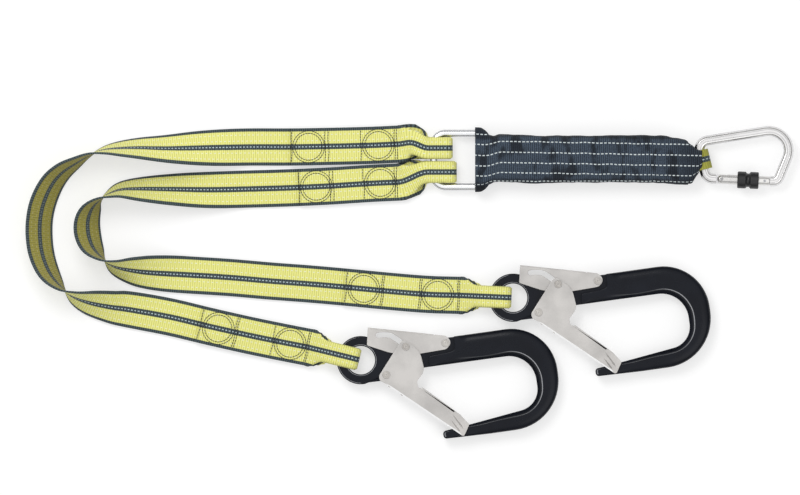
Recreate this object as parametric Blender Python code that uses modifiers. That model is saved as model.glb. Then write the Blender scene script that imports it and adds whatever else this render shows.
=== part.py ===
# Twin shock-absorbing lanyard, laid out flat on a surface, in metres with +Z up.
# The origin is on the surface, under the middle of the absorber pouch. +X runs along the
# pouch towards the karabiner, and the two webbing legs turn back on themselves at -X.

import math

import bmesh
import bpy
from mathutils import Matrix, Vector

# Clearance between pieces that touch
GAP = 0.0003

# Webbing of the two legs
WEBBING_WIDTH = 0.041
WEBBING_THICKNESS = 0.0026
FOLDED_WIDTH = 0.0235
FOLDED_THICKNESS = 0.0040
NECK_LENGTH = 0.022
STATION_STEP = 0.0135

# Connecting ring
RING_ROD_RADIUS = 0.004
RING_LEFT_X = -0.1731
RING_LENGTH = 0.056
RING_WIDTH = 0.0588
RING_LEFT_CORNER = 0.013
RING_RIGHT_CORNER = 0.008

# Scaffold hooks
HOOK_THICKNESS = 0.019
SHANK_THICKNESS = 0.010
HOOK_TURN = math.radians(8.0)
HOOK_EYE_OUTER = 0.0266
HOOK_EYE_HOLE = 0.0155
HOOK_EYE_CHAMFER = 0.0012
HOOK_SPINE_TOP = 0.0117
HOOK_SPINE_BOTTOM = -0.0178
HOOK_TIP_X = 0.2128
HOOK_BOTTOM = -0.0998
HOOK_THROAT_X = 0.1882
HOOK_EDGE_ROUNDING = 0.0022
NOSE_THICKNESS = 0.0132
NOSE_RADIUS = 0.0042

# Gate and lock lever of a hook
PLATE_THICKNESS = 0.0014
PLATE_GAP = 0.0003
GATE_PIVOT = Vector((0.0256, -0.0199))
GATE_PIN_PLACE = Vector((0.0511, 0.0079))
LEVER_PIVOT = Vector((0.0947, 0.0056))
GATE_OPENING = math.radians(28.0)
LEVER_PRESS = math.radians(5.5)
SLOT_SPARE = math.radians(21.0)
RIVET_RADIUS = 0.0024
LINK_PIN_RADIUS = 0.0022
RIVET_HEAD_RADIUS = 0.0042
RIVET_HEAD_THICKNESS = 0.0007
SPRING_WIRE_RADIUS = 0.0006
SPRING_RADIUS = 0.0050
SPRING_TURNS = 2
SPRING_SEAT_DEPTH = 0.0035

# Karabiner
KARABINER_ROD_RADIUS = 0.0055
KARABINER_BAR_TOP = Vector((0.1170, 0.0198))
KARABINER_BAR_BOTTOM = Vector((0.1270, -0.0203))
KARABINER_LOOP_LENGTH = 0.0385
KARABINER_LOOP_THICKNESS = 0.0036
GATE_HINGE = Vector((0.1438, -0.0210))
GATE_NOSE = Vector((0.1910, -0.0230))
TONGUE_THICKNESS = 0.0040
KARABINER_PIN_RADIUS = 0.0015
GATE_BORE_RADIUS = 0.0031
PUSHER_BORE_END = 0.0340
PUSHER_BACK = 0.0118
PUSHER_TIP_RADIUS = 0.0013
PUSHER_WIRE_RADIUS = 0.00045
PUSHER_SPRING_TURNS = 7
SLEEVE_RADIUS = 0.0093
SLEEVE_LENGTH = 0.0235
SLEEVE_PLACE = 0.0172

# Absorber pouch and what it holds
COVER_WALL = 0.0016
COVER_FLAT = 0.0006
COVER_SQUARENESS = 4.5
COVER_TRIM_END = 0.14
COVER_TRIM_REACH = 0.05
COVER_TRIM_BOTTOM = -0.01
COVER_TRIM_TOP = 0.04
PACK_START_X = -0.100
PACK_END_X = 0.078
PACK_WIDTH = 0.038
PACK_MIDDLE_Y = 0.001
PACK_LAYERS = 8
PACK_WEB_THICKNESS = 0.0024
PACK_BASE = COVER_WALL + 0.0008
RING_LOOP_WIDTH = 0.036
RING_LOOP_THICKNESS = 0.0026
KARABINER_LOOP_WIDTH = 0.0215
RING_HEIGHT = COVER_WALL + 2 * GAP + RING_LOOP_THICKNESS + RING_ROD_RADIUS + 0.0002
KARABINER_HEIGHT = COVER_WALL + 2 * GAP + KARABINER_LOOP_THICKNESS + KARABINER_ROD_RADIUS + 0.0002

# Each leg's centreline between its two loops: x, y and how far the webbing is rolled
# about it, in degrees, from lying flat
OUTER_LEG_ROUTE = [
    (-0.2134, 0.0174, 0), (-0.2431, 0.0161, 0), (-0.2871, 0.0150, 0), (-0.3311, 0.0143, 0),
    (-0.3751, 0.0143, 0), (-0.4191, 0.0132, 18), (-0.4631, 0.0121, 42), (-0.4961, 0.0126, 57),
    (-0.5181, 0.0121, 68), (-0.5357, 0.0104, 80), (-0.5522, 0.0055, 95), (-0.5676, -0.0033, 108),
    (-0.5819, -0.0130, 119), (-0.5935, -0.0265, 128), (-0.6025, -0.0460, 133), (-0.6066, -0.0650, 134),
    (-0.6070, -0.0850, 134), (-0.6040, -0.1050, 131), (-0.5960, -0.1250, 122), (-0.5841, -0.1397, 102),
    (-0.5698, -0.1496, 74), (-0.5522, -0.1562, 51), (-0.5291, -0.1612, 32), (-0.5071, -0.1645, 14),
    (-0.4631, -0.1727, 0), (-0.4191, -0.1832, 0), (-0.3751, -0.1931, 0), (-0.3400, -0.2003, 0),
]
INNER_LEG_ROUTE = [
    (-0.2134, -0.0244, 0), (-0.2431, -0.0258, 0), (-0.2871, -0.0286, 0), (-0.3311, -0.0306, 0),
    (-0.3751, -0.0319, 0), (-0.4191, -0.0330, 14), (-0.4631, -0.0327, 35), (-0.4961, -0.0325, 52),
    (-0.5159, -0.0333, 65), (-0.5291, -0.0374, 79), (-0.5423, -0.0446, 99), (-0.5505, -0.0545, 120),
    (-0.5544, -0.0682, 132), (-0.5533, -0.0836, 133), (-0.5478, -0.0979, 121), (-0.5368, -0.1095, 95),
    (-0.5236, -0.1166, 68), (-0.5071, -0.1205, 47), (-0.4851, -0.1235, 26), (-0.4411, -0.1265, 0),
    (-0.3971, -0.1293, 0), (-0.3531, -0.1331, 0), (-0.3091, -0.1364, 0), (-0.2651, -0.1403, 0),
    (-0.2211, -0.1445, 0), (-0.1800, -0.1478, 0),
]

# Where each leg ends: its ring loop's length, how far that bends aside and how far it
# sways before, its hook's eye, the way the webbing runs into it, and both sewn lengths
LEGS = {
    "outer": {
        "route": OUTER_LEG_ROUTE,
        "ring_reach": 0.0616,
        "ring_shift": -0.0042,
        "ring_sway": 0.0035,
        "eye": Vector((-0.2532, -0.2202)),
        "heading": math.radians(-13.8),
        "ring_sewn": 0.118,
        "hook_sewn": 0.126,
    },
    "inner": {
        "route": INNER_LEG_ROUTE,
        "ring_reach": 0.0660,
        "ring_shift": 0.0112,
        "ring_sway": 0.0,
        "eye": Vector((-0.0857, -0.1515)),
        "heading": math.radians(-2.5),
        "ring_sewn": 0.110,
        "hook_sewn": 0.127,
    },
}
EYE_LOOP_START = 0.060
EYE_LOOP_END = 0.0040

# The cover's mouth about the ring: x past the ring's bar, the room it leaves below and above
# the ring's two sides, negative where it draws in behind them, and its height
COVER_MOUTH = [
    (-0.0104, 0.0028, 0.0034, 0.0225), (-0.0044, 0.0026, 0.0030, 0.0235),
    (-0.0007, 0.0011, 0.0014, 0.0245), (0.0021, -0.0016, -0.0012, 0.0252),
    (0.0051, -0.0056, -0.0050, 0.0262), (0.0101, -0.0082, -0.0060, 0.0272),
    (0.0161, -0.0087, -0.0040, 0.0285),
]

# The rest of the cover's outline along the pouch: x, lowest y, highest y and height
COVER_STATIONS = [
    (-0.0850, -0.0258, 0.0284, 0.0290),
    (-0.0600, -0.0266, 0.0276, 0.0292), (-0.0300, -0.0258, 0.0278, 0.0290),
    (0.0000, -0.0256, 0.0276, 0.0292), (0.0300, -0.0253, 0.0278, 0.0290),
    (0.0600, -0.0256, 0.0280, 0.0288), (0.0800, -0.0262, 0.0276, 0.0282),
    (0.0930, -0.0272, 0.0252, 0.0268), (0.1040, -0.0278, 0.0228, 0.0254),
    (0.1230, -0.0280, 0.0220, 0.0246),
]

# The cover's end over the karabiner's bar, seen from above: the corners are folded away
COVER_END = [
    (0.1050, 0.0222), (0.1082, 0.0128), (0.1222, 0.0116), (0.1224, -0.0090), (0.1105, -0.0278),
]
COVER_END_CUT_X = 0.1085
COVER_END_CUT_HEIGHTS = (0.0040, 0.0205)

MATERIALS = {
    "leg_webbing": ((0.72, 0.76, 0.10), 0.85, 0.0),
    "cover_webbing": ((0.035, 0.055, 0.085), 0.9, 0.0),
    "tear_webbing": ((0.75, 0.70, 0.30), 0.85, 0.0),
    "forged_aluminium": ((0.012, 0.014, 0.018), 0.35, 0.2),
    "pressed_steel": ((0.60, 0.57, 0.53), 0.38, 0.9),
    "rivet_steel": ((0.50, 0.47, 0.44), 0.35, 0.9),
    "ring_steel": ((0.72, 0.73, 0.75), 0.22, 1.0),
    "karabiner_aluminium": ((0.80, 0.81, 0.83), 0.25, 1.0),
    "black_sleeve": ((0.015, 0.015, 0.017), 0.4, 0.3),
    "spring_steel": ((0.45, 0.45, 0.46), 0.3, 1.0),
}


def new_collection(name):
    found = bpy.data.collections.new(name)
    bpy.context.scene.collection.children.link(found)
    return found


def make_material(name):
    colour, roughness, metallic = MATERIALS[name]
    material = bpy.data.materials.new(name)
    material.use_nodes = True
    shader = material.node_tree.nodes["Principled BSDF"]
    shader.inputs["Base Color"].default_value = (*colour, 1.0)
    shader.inputs["Roughness"].default_value = roughness
    shader.inputs["Metallic"].default_value = metallic
    material.diffuse_color = (*colour, 1.0)
    return material


def tidy_mesh(mesh):
    """Welds doubled points and turns every face outwards."""
    work = bmesh.new()
    work.from_mesh(mesh)
    bmesh.ops.remove_doubles(work, verts=work.verts, dist=0.000004)
    bmesh.ops.dissolve_degenerate(work, edges=work.edges, dist=0.000002)
    bmesh.ops.recalc_face_normals(work, faces=work.faces)
    work.to_mesh(mesh)
    work.free()
    return mesh


def mesh_from(data, modifiers=()):
    """The finished mesh of a curve or mesh, after the given modifiers."""
    bench = bpy.data.objects.new("bench", data)
    bpy.context.scene.collection.objects.link(bench)
    for kind, settings in modifiers:
        modifier = bench.modifiers.new(kind.title(), kind)
        for key, value in settings.items():
            setattr(modifier, key, value)
    graph = bpy.context.evaluated_depsgraph_get()
    mesh = bpy.data.meshes.new_from_object(bench.evaluated_get(graph))
    bpy.data.objects.remove(bench)
    return tidy_mesh(mesh)


def place(name, mesh, material, parent=None, origin=(0, 0, 0)):
    """Puts a mesh in the lanyard's collection, with its own origin on its joint's axis."""
    piece = bpy.data.objects.new(name, mesh)
    PARTS.objects.link(piece)
    piece.parent = parent
    piece.location = origin
    if not mesh.materials:
        mesh.materials.append(MADE_MATERIALS[material])
        mesh.shade_smooth()
        mesh.set_sharp_from_angle(angle=math.radians(35))
        mesh.transform(Matrix.Translation(-Vector(origin)))
    return piece


def carve(mesh, tools, operation="DIFFERENCE"):
    """Cuts the tools out of a mesh, or joins them to it, and keeps them as wire guides."""
    steps = []
    for tool in tools:
        guide = bpy.data.objects.new("cutter", tool)
        guide.hide_render = True
        guide.display_type = "WIRE"
        CUTTERS.objects.link(guide)
        steps.append(("BOOLEAN", {"operation": operation, "solver": "EXACT", "object": guide}))
    return mesh_from(mesh, steps)


def rounded(corners, step=math.radians(15)):
    """A closed outline through corners of x, y and fillet radius, with true arcs."""
    outline = []
    count = len(corners)
    for i, (x, y, radius) in enumerate(corners):
        here = Vector((x, y))
        back = (Vector(corners[i - 1][:2]) - here).normalized()
        ahead = (Vector(corners[(i + 1) % count][:2]) - here).normalized()
        opening = back.angle(ahead)
        if radius <= 0 or opening > math.pi - 0.02:
            outline.append(here)
            continue
        reach = radius / math.tan(opening / 2)
        centre = here + (back + ahead).normalized() * radius / math.sin(opening / 2)
        start = here + back * reach - centre
        sweep = math.pi - opening
        if back.x * ahead.y - back.y * ahead.x > 0:
            sweep = -sweep
        pieces = max(2, math.ceil(abs(sweep) / step))
        for k in range(pieces + 1):
            outline.append(centre + Matrix.Rotation(sweep * k / pieces, 2) @ start)
    return outline


def flat_curve(outline, half_thickness, edge=0.0):
    """A filled flat outline with rounded edges, centred on z = 0."""
    data = bpy.data.curves.new("outline", "CURVE")
    data.dimensions = "2D"
    data.fill_mode = "BOTH"
    data.extrude = half_thickness - edge
    data.bevel_depth = edge
    data.bevel_resolution = 1 if edge else 0
    data.offset = -edge
    spline = data.splines.new("POLY")
    spline.points.add(len(outline) - 1)
    for point, place_xy in zip(spline.points, outline):
        point.co = (place_xy[0], place_xy[1], 0, 1)
    spline.use_cyclic_u = True
    return data


def slab(outline, low, high, edge=0.0):
    """A flat outline made into a solid between two heights."""
    mesh = mesh_from(flat_curve(outline, (high - low) / 2, edge))
    mesh.transform(Matrix.Translation((0, 0, (low + high) / 2)))
    return mesh


def upright(radius, low, high, centre, sides=20):
    """A cylinder along Z."""
    mesh = bpy.data.meshes.new("cylinder")
    work = bmesh.new()
    bmesh.ops.create_cone(
        work, cap_ends=True, segments=sides, radius1=radius, radius2=radius, depth=high - low
    )
    work.to_mesh(mesh)
    work.free()
    mesh.transform(Matrix.Translation((centre[0], centre[1], (low + high) / 2)))
    return mesh


def block(low, high):
    """A box between two corners."""
    mesh = bpy.data.meshes.new("block")
    low, high = Vector(low), Vector(high)
    work = bmesh.new()
    bmesh.ops.create_cube(work, size=1.0)
    work.to_mesh(mesh)
    work.free()
    size = high - low
    mesh.transform(Matrix.Translation((low + high) / 2) @ Matrix.Diagonal((*size, 1)))
    return mesh


def turned(profile, steps=20, closed=False):
    """A shape turned about Z from a profile of radius and height, top to bottom outside."""
    mesh = bpy.data.meshes.new("profile")
    count = len(profile)
    edges = [(i, i + 1) for i in range(count - 1)]
    if closed:
        edges.append((count - 1, 0))
    mesh.from_pydata([(radius, 0, height) for radius, height in profile], edges, [])
    settings = {
        "steps": steps,
        "render_steps": steps,
        "use_merge_vertices": True,
        "merge_threshold": 0.00001,
    }
    return mesh_from(mesh, [("SCREW", settings)])


def tube(points, radius, resolution=2, cyclic=False):
    """A round rod that follows the points, with closed ends."""
    data = bpy.data.curves.new("tube", "CURVE")
    data.dimensions = "3D"
    data.bevel_depth = radius
    data.bevel_resolution = resolution
    data.use_fill_caps = True
    spline = data.splines.new("POLY")
    spline.points.add(len(points) - 1)
    for point, place_xyz in zip(spline.points, points):
        point.co = (*place_xyz, 1)
    spline.use_cyclic_u = cyclic
    return mesh_from(data)


def loft(rings, closed_ends=True, paired=False):
    """Joins rings of equal counts into a skin; a paired one splits its two halves alike."""
    mesh = bpy.data.meshes.new("loft")
    work = bmesh.new()
    made = [[work.verts.new(point) for point in ring] for ring in rings]
    count = len(rings[0])
    for ring, following in zip(made, made[1:]):
        for i in range(count):
            j = (i + 1) % count
            a, b, c, d = ring[i], ring[j], following[j], following[i]
            if not paired:
                work.faces.new((a, b, c, d))
                continue
            pieces = [(a, b, c), (a, c, d)] if i < count // 2 else [(a, b, d), (b, c, d)]
            for piece in pieces:
                work.faces.new(piece)
    if closed_ends:
        work.faces.new(list(reversed(made[0])))
        work.faces.new(made[-1])
    bmesh.ops.recalc_face_normals(work, faces=work.faces)
    work.to_mesh(mesh)
    work.free()
    return mesh


def ribbon(stations):
    """Webbing that follows stations of centre, cross direction, width and thickness."""
    rings = []
    for i, (centre, cross, width, thickness) in enumerate(stations):
        ahead = stations[min(i + 1, len(stations) - 1)][0]
        behind = stations[max(i - 1, 0)][0]
        along = (ahead - behind).normalized()
        normal = along.cross(cross).normalized()
        cross = normal.cross(along)
        half, high = width / 2, thickness / 2
        flat, edge = half - high * 0.7, high * 0.3
        section = [
            (-flat, high), (0, high), (flat, high), (half, edge), (half, -edge),
            (flat, -high), (0, -high), (-flat, -high), (-half, -edge), (-half, edge),
        ]
        rings.append([centre + cross * a + normal * b for a, b in section])
    return tidy_mesh(loft(rings, paired=True))


def smooth_step(value):
    value = min(max(value, 0.0), 1.0)
    return value * value * (3 - 2 * value)


def mix(a, b, share):
    return a + (b - a) * share


def smooth_route(points, step):
    """Points at even steps along a smooth curve through the route's own points."""
    knots = [Vector(p) for p in points]
    knots = [2 * knots[0] - knots[1], *knots, 2 * knots[-1] - knots[-2]]
    fine = []
    for a, b, c, d in zip(knots, knots[1:], knots[2:], knots[3:]):
        for k in range(16):
            t = k / 16
            fine.append(
                0.5 * (2 * b + (c - a) * t + (2 * a - 5 * b + 4 * c - d) * t**2 + (3 * b - a - 3 * c + d) * t**3)
            )
    fine.append(knots[-2])
    reached = [0.0]
    for a, b in zip(fine, fine[1:]):
        reached.append(reached[-1] + (b.xy - a.xy).length)
    count = max(2, round(reached[-1] / step))
    even, at = [], 0
    for k in range(count + 1):
        wanted = reached[-1] * k / count
        while at < len(fine) - 2 and reached[at + 1] < wanted:
            at += 1
        share = (wanted - reached[at]) / (reached[at + 1] - reached[at])
        even.append((wanted, fine[at].lerp(fine[at + 1], min(share, 1.0))))
    return even


def loop_stations(root, heading, side, start_low, start_high, low, high, reach, rise, shift=0.0, sway=0.0):
    """A folded end loop, out along the top, round and back along the bottom."""
    ahead = Vector((math.cos(heading), math.sin(heading), 0))
    left = Vector((-ahead.y, ahead.x, 0))
    radius = (high - low) / 2
    bend = reach - FOLDED_THICKNESS / 2 - radius
    steps, turns = 7, 8
    step = bend / steps

    def spot(distance):
        share = min(distance / rise, 1)
        aside = shift * smooth_step(share) + sway * math.sin(math.pi * share) ** 2
        return Vector((*root, 0)) + ahead * distance + left * aside

    top, bottom, around = [], [], []
    for k in range(1, steps + 1):
        distance = step * k
        way = (spot(distance + step) - spot(distance - step)).normalized()
        cross = Vector((-way.y, way.x, 0)) * side
        fold = smooth_step(distance / NECK_LENGTH)
        width = mix(WEBBING_WIDTH, FOLDED_WIDTH, fold)
        thickness = mix(WEBBING_THICKNESS, FOLDED_THICKNESS, fold)
        up = mix(start_high, high, smooth_step(distance / rise))
        down = mix(start_low, low, fold)
        top.append((spot(distance) + Vector((0, 0, up)), cross, width, thickness))
        bottom.append((spot(distance) + Vector((0, 0, down)), cross, width, thickness))
    for k in range(1, turns):
        angle = math.pi * k / turns
        offset = ahead * (bend + radius * math.sin(angle)) + Vector((0, 0, low + radius + radius * math.cos(angle)))
        centre = Vector((*root, 0)) + left * shift + offset
        around.append((centre, left * side, FOLDED_WIDTH, FOLDED_THICKNESS))
    return top, around, bottom


def make_leg(side):
    """One leg: sewn tail, ring loop, free run, hook loop and the other sewn tail."""
    leg = LEGS[side]
    heading = leg["heading"]
    hook_root = leg["eye"] - EYE_LOOP_START * Vector((math.cos(heading), math.sin(heading)))
    route = leg["route"] + [(hook_root.x, hook_root.y, 0)]
    run = smooth_route(route, STATION_STEP)
    total = run[-1][0]
    flat = WEBBING_THICKNESS / 2 + GAP
    tail_height = flat + WEBBING_THICKNESS + GAP
    main, first_tail, last_tail = [], [], []
    length = 0.0
    for i, (distance, point) in enumerate(run):
        ahead = (run[min(i + 1, len(run) - 1)][1].xy - run[max(i - 1, 0)][1].xy).normalized()
        left = Vector((-ahead.y, ahead.x, 0))
        roll = math.radians(point.z)
        lift = WEBBING_WIDTH / 2 * abs(math.sin(roll)) + flat * abs(math.cos(roll))
        cross = left * math.cos(roll) + Vector((0, 0, 1)) * math.sin(roll)
        centre = Vector((point.x, point.y, lift))
        main.append((centre, cross, WEBBING_WIDTH, WEBBING_THICKNESS))
        over = (Vector((point.x, point.y, tail_height)), left, WEBBING_WIDTH, WEBBING_THICKNESS)
        if distance <= leg["ring_sewn"]:
            first_tail.append(over)
        if total - distance <= leg["hook_sewn"]:
            last_tail.append(over)
    ring_low = RING_HEIGHT - RING_ROD_RADIUS - GAP - FOLDED_THICKNESS / 2
    ring_high = RING_HEIGHT + RING_ROD_RADIUS + GAP + FOLDED_THICKNESS / 2
    root = run[0][1].xy
    bar = RING_LEFT_X - root.x
    loop = loop_stations(
        root, 0.0, -1, flat, tail_height, ring_low, ring_high,
        leg["ring_reach"], bar - RING_ROD_RADIUS - 0.002, leg["ring_shift"], leg["ring_sway"],
    )
    stations = first_tail[::-1] + loop[0] + loop[1] + loop[2][::-1] + main
    eye_low = HOOK_THICKNESS / 2 - SHANK_THICKNESS / 2 - GAP - FOLDED_THICKNESS / 2
    eye_high = HOOK_THICKNESS / 2 + SHANK_THICKNESS / 2 + GAP + FOLDED_THICKNESS / 2
    loop = loop_stations(
        hook_root, heading, 1, flat, tail_height, eye_low, eye_high,
        EYE_LOOP_START - EYE_LOOP_END, EYE_LOOP_START - HOOK_EYE_OUTER - 0.002,
    )
    stations += loop[2] + loop[1][::-1] + loop[0][::-1] + last_tail[::-1]
    for (a, *_), (b, *_) in zip(stations, stations[1:]):
        length += (b - a).length
    print(f"{side} leg: {total:.3f} m free and sewn run, {length:.3f} m of webbing in all")
    place(f"{side}_leg_webbing", ribbon(stations), "leg_webbing")


def make_ring():
    left, right = RING_LEFT_X, RING_LEFT_X + RING_LENGTH
    half = RING_WIDTH / 2
    outline = rounded(
        [
            (left, -half, RING_LEFT_CORNER), (right, -half, RING_RIGHT_CORNER),
            (right, half, RING_RIGHT_CORNER), (left, half, RING_LEFT_CORNER),
        ],
        math.radians(12),
    )
    points = [(p.x, p.y, RING_HEIGHT) for p in outline]
    place("connecting_ring", tube(points, RING_ROD_RADIUS, 2, cyclic=True), "ring_steel")


def lever_frame_path(steps, spare):
    """The link pin's path as the pressed lock lever sees it while the gate opens."""
    path = []
    for k in range(steps + 1):
        share = mix(-0.04, 1 + spare / GATE_OPENING, k / steps)
        pin = Matrix.Rotation(GATE_OPENING * share, 2) @ (GATE_PIN_PLACE - GATE_PIVOT) + GATE_PIVOT
        back = Matrix.Rotation(-LEVER_PRESS * min(share, 1), 2)
        path.append(back @ (pin - LEVER_PIVOT) + LEVER_PIVOT)
    return path


def around_path(path, radius):
    """The outline that a disc sweeps along a path."""
    one, other = [], []
    for i, point in enumerate(path):
        along = (path[min(i + 1, len(path) - 1)] - path[max(i - 1, 0)]).normalized()
        side = Vector((-along.y, along.x)) * radius
        one.append(point + side)
        other.append(point - side)
    for end, line in ((path[-1], one), (path[0], other)):
        start = line[-1] - end if line is one else other[0] - end
        arc = [end + Matrix.Rotation(-math.pi * k / 6, 2) @ start for k in range(1, 6)]
        if line is one:
            cap_far = arc
        else:
            cap_near = arc
    return one + cap_far + other[::-1] + cap_near


def hook_body_mesh():
    """The forged hook: eye, thinned shank, spine, bend and tapering nose arm."""
    recess = GATE_PIN_PLACE - GATE_PIVOT
    dip = recess.length - LINK_PIN_RADIUS - 0.0006
    dip_points = []
    for degrees in (74, 67, 60, 53, 47):
        turn = math.radians(degrees)
        dip_points.append(GATE_PIVOT + dip * Vector((math.cos(turn), math.sin(turn))))
    outline = rounded(
        [
            (0.0000, -0.0262, 0.012), (0.0180, -0.0262, 0.004), (0.0256, -0.0276, 0.006),
            (0.0340, -0.0240, 0.005), (0.0390, HOOK_SPINE_BOTTOM, 0.004),
            (HOOK_THROAT_X, HOOK_SPINE_BOTTOM - 0.0004, 0.030), (HOOK_THROAT_X, -0.0765, 0.024),
            (0.1000, -0.0878, 0.010), (0.0784, -0.0900, NOSE_RADIUS - 0.0006),
            (0.0784, -0.0985, NOSE_RADIUS - 0.0006), (0.1300, HOOK_BOTTOM, 0.020),
            (HOOK_TIP_X, HOOK_BOTTOM, 0.0545), (HOOK_TIP_X, HOOK_SPINE_TOP, 0.051),
            (0.0640, HOOK_SPINE_TOP, 0.005), (0.0560, -0.0010, 0.004),
            *[(p.x, p.y, 0.0) for p in dip_points[::-1]],
            (0.0240, 0.0128, 0.0), (0.0060, 0.0180, 0.0),
        ],
        math.radians(10),
    )
    half = HOOK_THICKNESS / 2
    body = slab(outline, -half, half, HOOK_EDGE_ROUNDING)
    eye = upright(HOOK_EYE_OUTER, -half, half, (0, 0), 40)
    body = carve(body, [eye], "UNION")
    shank = SHANK_THICKNESS / 2
    recess_outline = rounded(
        [
            (-0.0400, -0.0500, 0), (0.0560, -0.0500, 0), (0.0725, -0.0300, 0.004),
            (0.0745, -0.0062, 0.004), (0.0960, -0.0050, 0.003), (0.1045, -0.0035, 0.006),
            (0.1045, 0.0300, 0), (-0.0400, 0.0400, 0),
        ]
    )
    nose = NOSE_THICKNESS / 2
    cutters = []
    for side in (1, -1):
        low, high = sorted((side * shank, side * 0.02))
        cutters.append(slab(recess_outline, low, high))
        wedge = [
            Vector((0.060, side * nose)), Vector((0.116, side * nose)), Vector((0.170, side * (half + 0.0005))),
            Vector((0.170, side * 0.02)), Vector((0.060, side * 0.02)),
        ]
        taper = slab(wedge, 0.070, 0.115)
        taper.transform(Matrix.Rotation(math.pi / 2, 4, "X"))
        cutters.append(taper)
    chamfer = HOOK_EYE_CHAMFER
    eye_hole = [
        (0, 0.02), (HOOK_EYE_HOLE + chamfer, 0.02), (HOOK_EYE_HOLE + chamfer, shank),
        (HOOK_EYE_HOLE, shank - chamfer), (HOOK_EYE_HOLE, chamfer - shank),
        (HOOK_EYE_HOLE + chamfer, -shank), (HOOK_EYE_HOLE + chamfer, -0.02), (0, -0.02),
    ]
    cutters.append(turned(eye_hole, 36))
    cutters.append(upright(RIVET_RADIUS + GAP, -0.02, 0.02, GATE_PIVOT))
    cutters.append(upright(RIVET_RADIUS + GAP, -0.02, 0.02, LEVER_PIVOT))
    spring_seat = SPRING_RADIUS + SPRING_WIRE_RADIUS + 0.0005
    seat_floor = shank - SPRING_SEAT_DEPTH
    cutters.append(upright(spring_seat, seat_floor, 0.02, GATE_PIVOT, 24))
    return carve(body, cutters)


def gate_mesh():
    """The pressed steel gate: two cheeks joined by a folded edge on the throat side."""
    inner = SHANK_THICKNESS / 2 + PLATE_GAP + PLATE_THICKNESS + PLATE_GAP
    outer = inner + PLATE_THICKNESS
    outline = rounded(
        [
            (0.0145, -0.0232, 0.006), (0.0485, 0.0170, 0.005), (0.0655, 0.0020, 0.020),
            (0.0680, -0.0215, 0.012), (0.0580, -0.0325, 0.003), (0.0625, -0.0385, 0.0015),
            (0.1000, -0.0745, 0.002), (0.1085, -0.0865, 0.002), (0.1005, -0.0992, 0.002),
            (0.0215, -0.0282, 0.006),
        ],
        math.radians(18),
    )
    along = (Vector((0.1000, -0.0745)) - Vector((0.0625, -0.0385))).normalized()
    inward = Vector((along.y, -along.x))
    web_start = Vector((0.0665, -0.0423))
    web_end = web_start + along * 0.0385
    hollow = [
        Vector((0.0, -0.060)), Vector((0.100, -0.125)), Vector((0.130, -0.090)),
        web_end + along * 0.030, web_end, web_end + inward * PLATE_THICKNESS * 1.3,
        web_start + inward * PLATE_THICKNESS * 1.3, web_start - along * 0.006,
        Vector((0.090, -0.020)), Vector((0.070, 0.030)), Vector((0.0, 0.030)),
    ]
    blank = slab(outline, -outer, outer)
    cutters = [
        slab(hollow, -inner, inner),
        upright(RIVET_RADIUS + GAP, -0.02, 0.02, GATE_PIVOT),
        upright(LINK_PIN_RADIUS + GAP, -0.02, 0.02, GATE_PIN_PLACE),
    ]
    return carve(blank, cutters)


def lever_mesh():
    """The lock lever: a steel channel over the spine's back, with the curved slot."""
    inner = SHANK_THICKNESS / 2 + PLATE_GAP
    outer = inner + PLATE_THICKNESS
    outline = rounded(
        [
            (0.0126, 0.0345, 0.0006), (0.0088, 0.0152, 0.002), (0.0330, 0.0034, 0.030),
            (0.0600, -0.0022, 0.010), (0.0950, -0.0012, 0.006), (0.1022, 0.0056, 0.006),
            (0.0965, 0.0136, 0.006),
        ],
        math.radians(18),
    )
    back = (Vector((0.0965, 0.0136)) - Vector((0.0126, 0.0345))).normalized()
    inward = Vector((back.y, -back.x))
    corner = Vector((0.0126, 0.0345))
    hollow = [
        corner + inward * PLATE_THICKNESS - back * 0.02, corner + inward * PLATE_THICKNESS + back * 0.073,
        corner + back * 0.073 - inward * 0.01, Vector((0.120, 0.030)), Vector((0.120, -0.030)),
        Vector((-0.020, -0.030)),
    ]
    blank = slab(outline, -outer, outer)
    slot = around_path(lever_frame_path(12, SLOT_SPARE), LINK_PIN_RADIUS + GAP)
    cutters = [
        slab(hollow, -inner, inner),
        slab(slot, -0.02, 0.02),
        upright(RIVET_RADIUS + GAP, -0.02, 0.02, LEVER_PIVOT),
    ]
    return carve(blank, cutters)


def rivet_mesh(radius, seat, place_xy):
    """A rivet with a flat head on each side, seated clear of the plates at +-seat."""
    top = seat + GAP / 2 + RIVET_HEAD_THICKNESS
    under = seat + GAP / 2
    profile = [
        (0, top), (RIVET_HEAD_RADIUS * 0.85, top), (RIVET_HEAD_RADIUS, top - 0.0002), (RIVET_HEAD_RADIUS, under),
        (radius, under), (radius, -under), (RIVET_HEAD_RADIUS, -under), (RIVET_HEAD_RADIUS, 0.0002 - top),
        (RIVET_HEAD_RADIUS * 0.85, -top), (0, -top),
    ]
    mesh = turned(profile, 14)
    mesh.transform(Matrix.Translation((*place_xy, 0)))
    return mesh


def hook_spring_mesh():
    """The gate's torsion spring, wound round its rivet in the body's seat."""
    points = []
    bottom = SHANK_THICKNESS / 2 - SPRING_SEAT_DEPTH + GAP + SPRING_WIRE_RADIUS
    top = SHANK_THICKNESS / 2 + 2 * PLATE_GAP + PLATE_THICKNESS - GAP - SPRING_WIRE_RADIUS
    pitch = (top - bottom) / SPRING_TURNS
    for k in range(SPRING_TURNS * 12 + 1):
        angle = 2 * math.pi * k / 12 + math.radians(150)
        spot = GATE_PIVOT + SPRING_RADIUS * Vector((math.cos(angle), math.sin(angle)))
        points.append((spot.x, spot.y, bottom + pitch * k / 12))
    return tube(points, SPRING_WIRE_RADIUS, 1)


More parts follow.
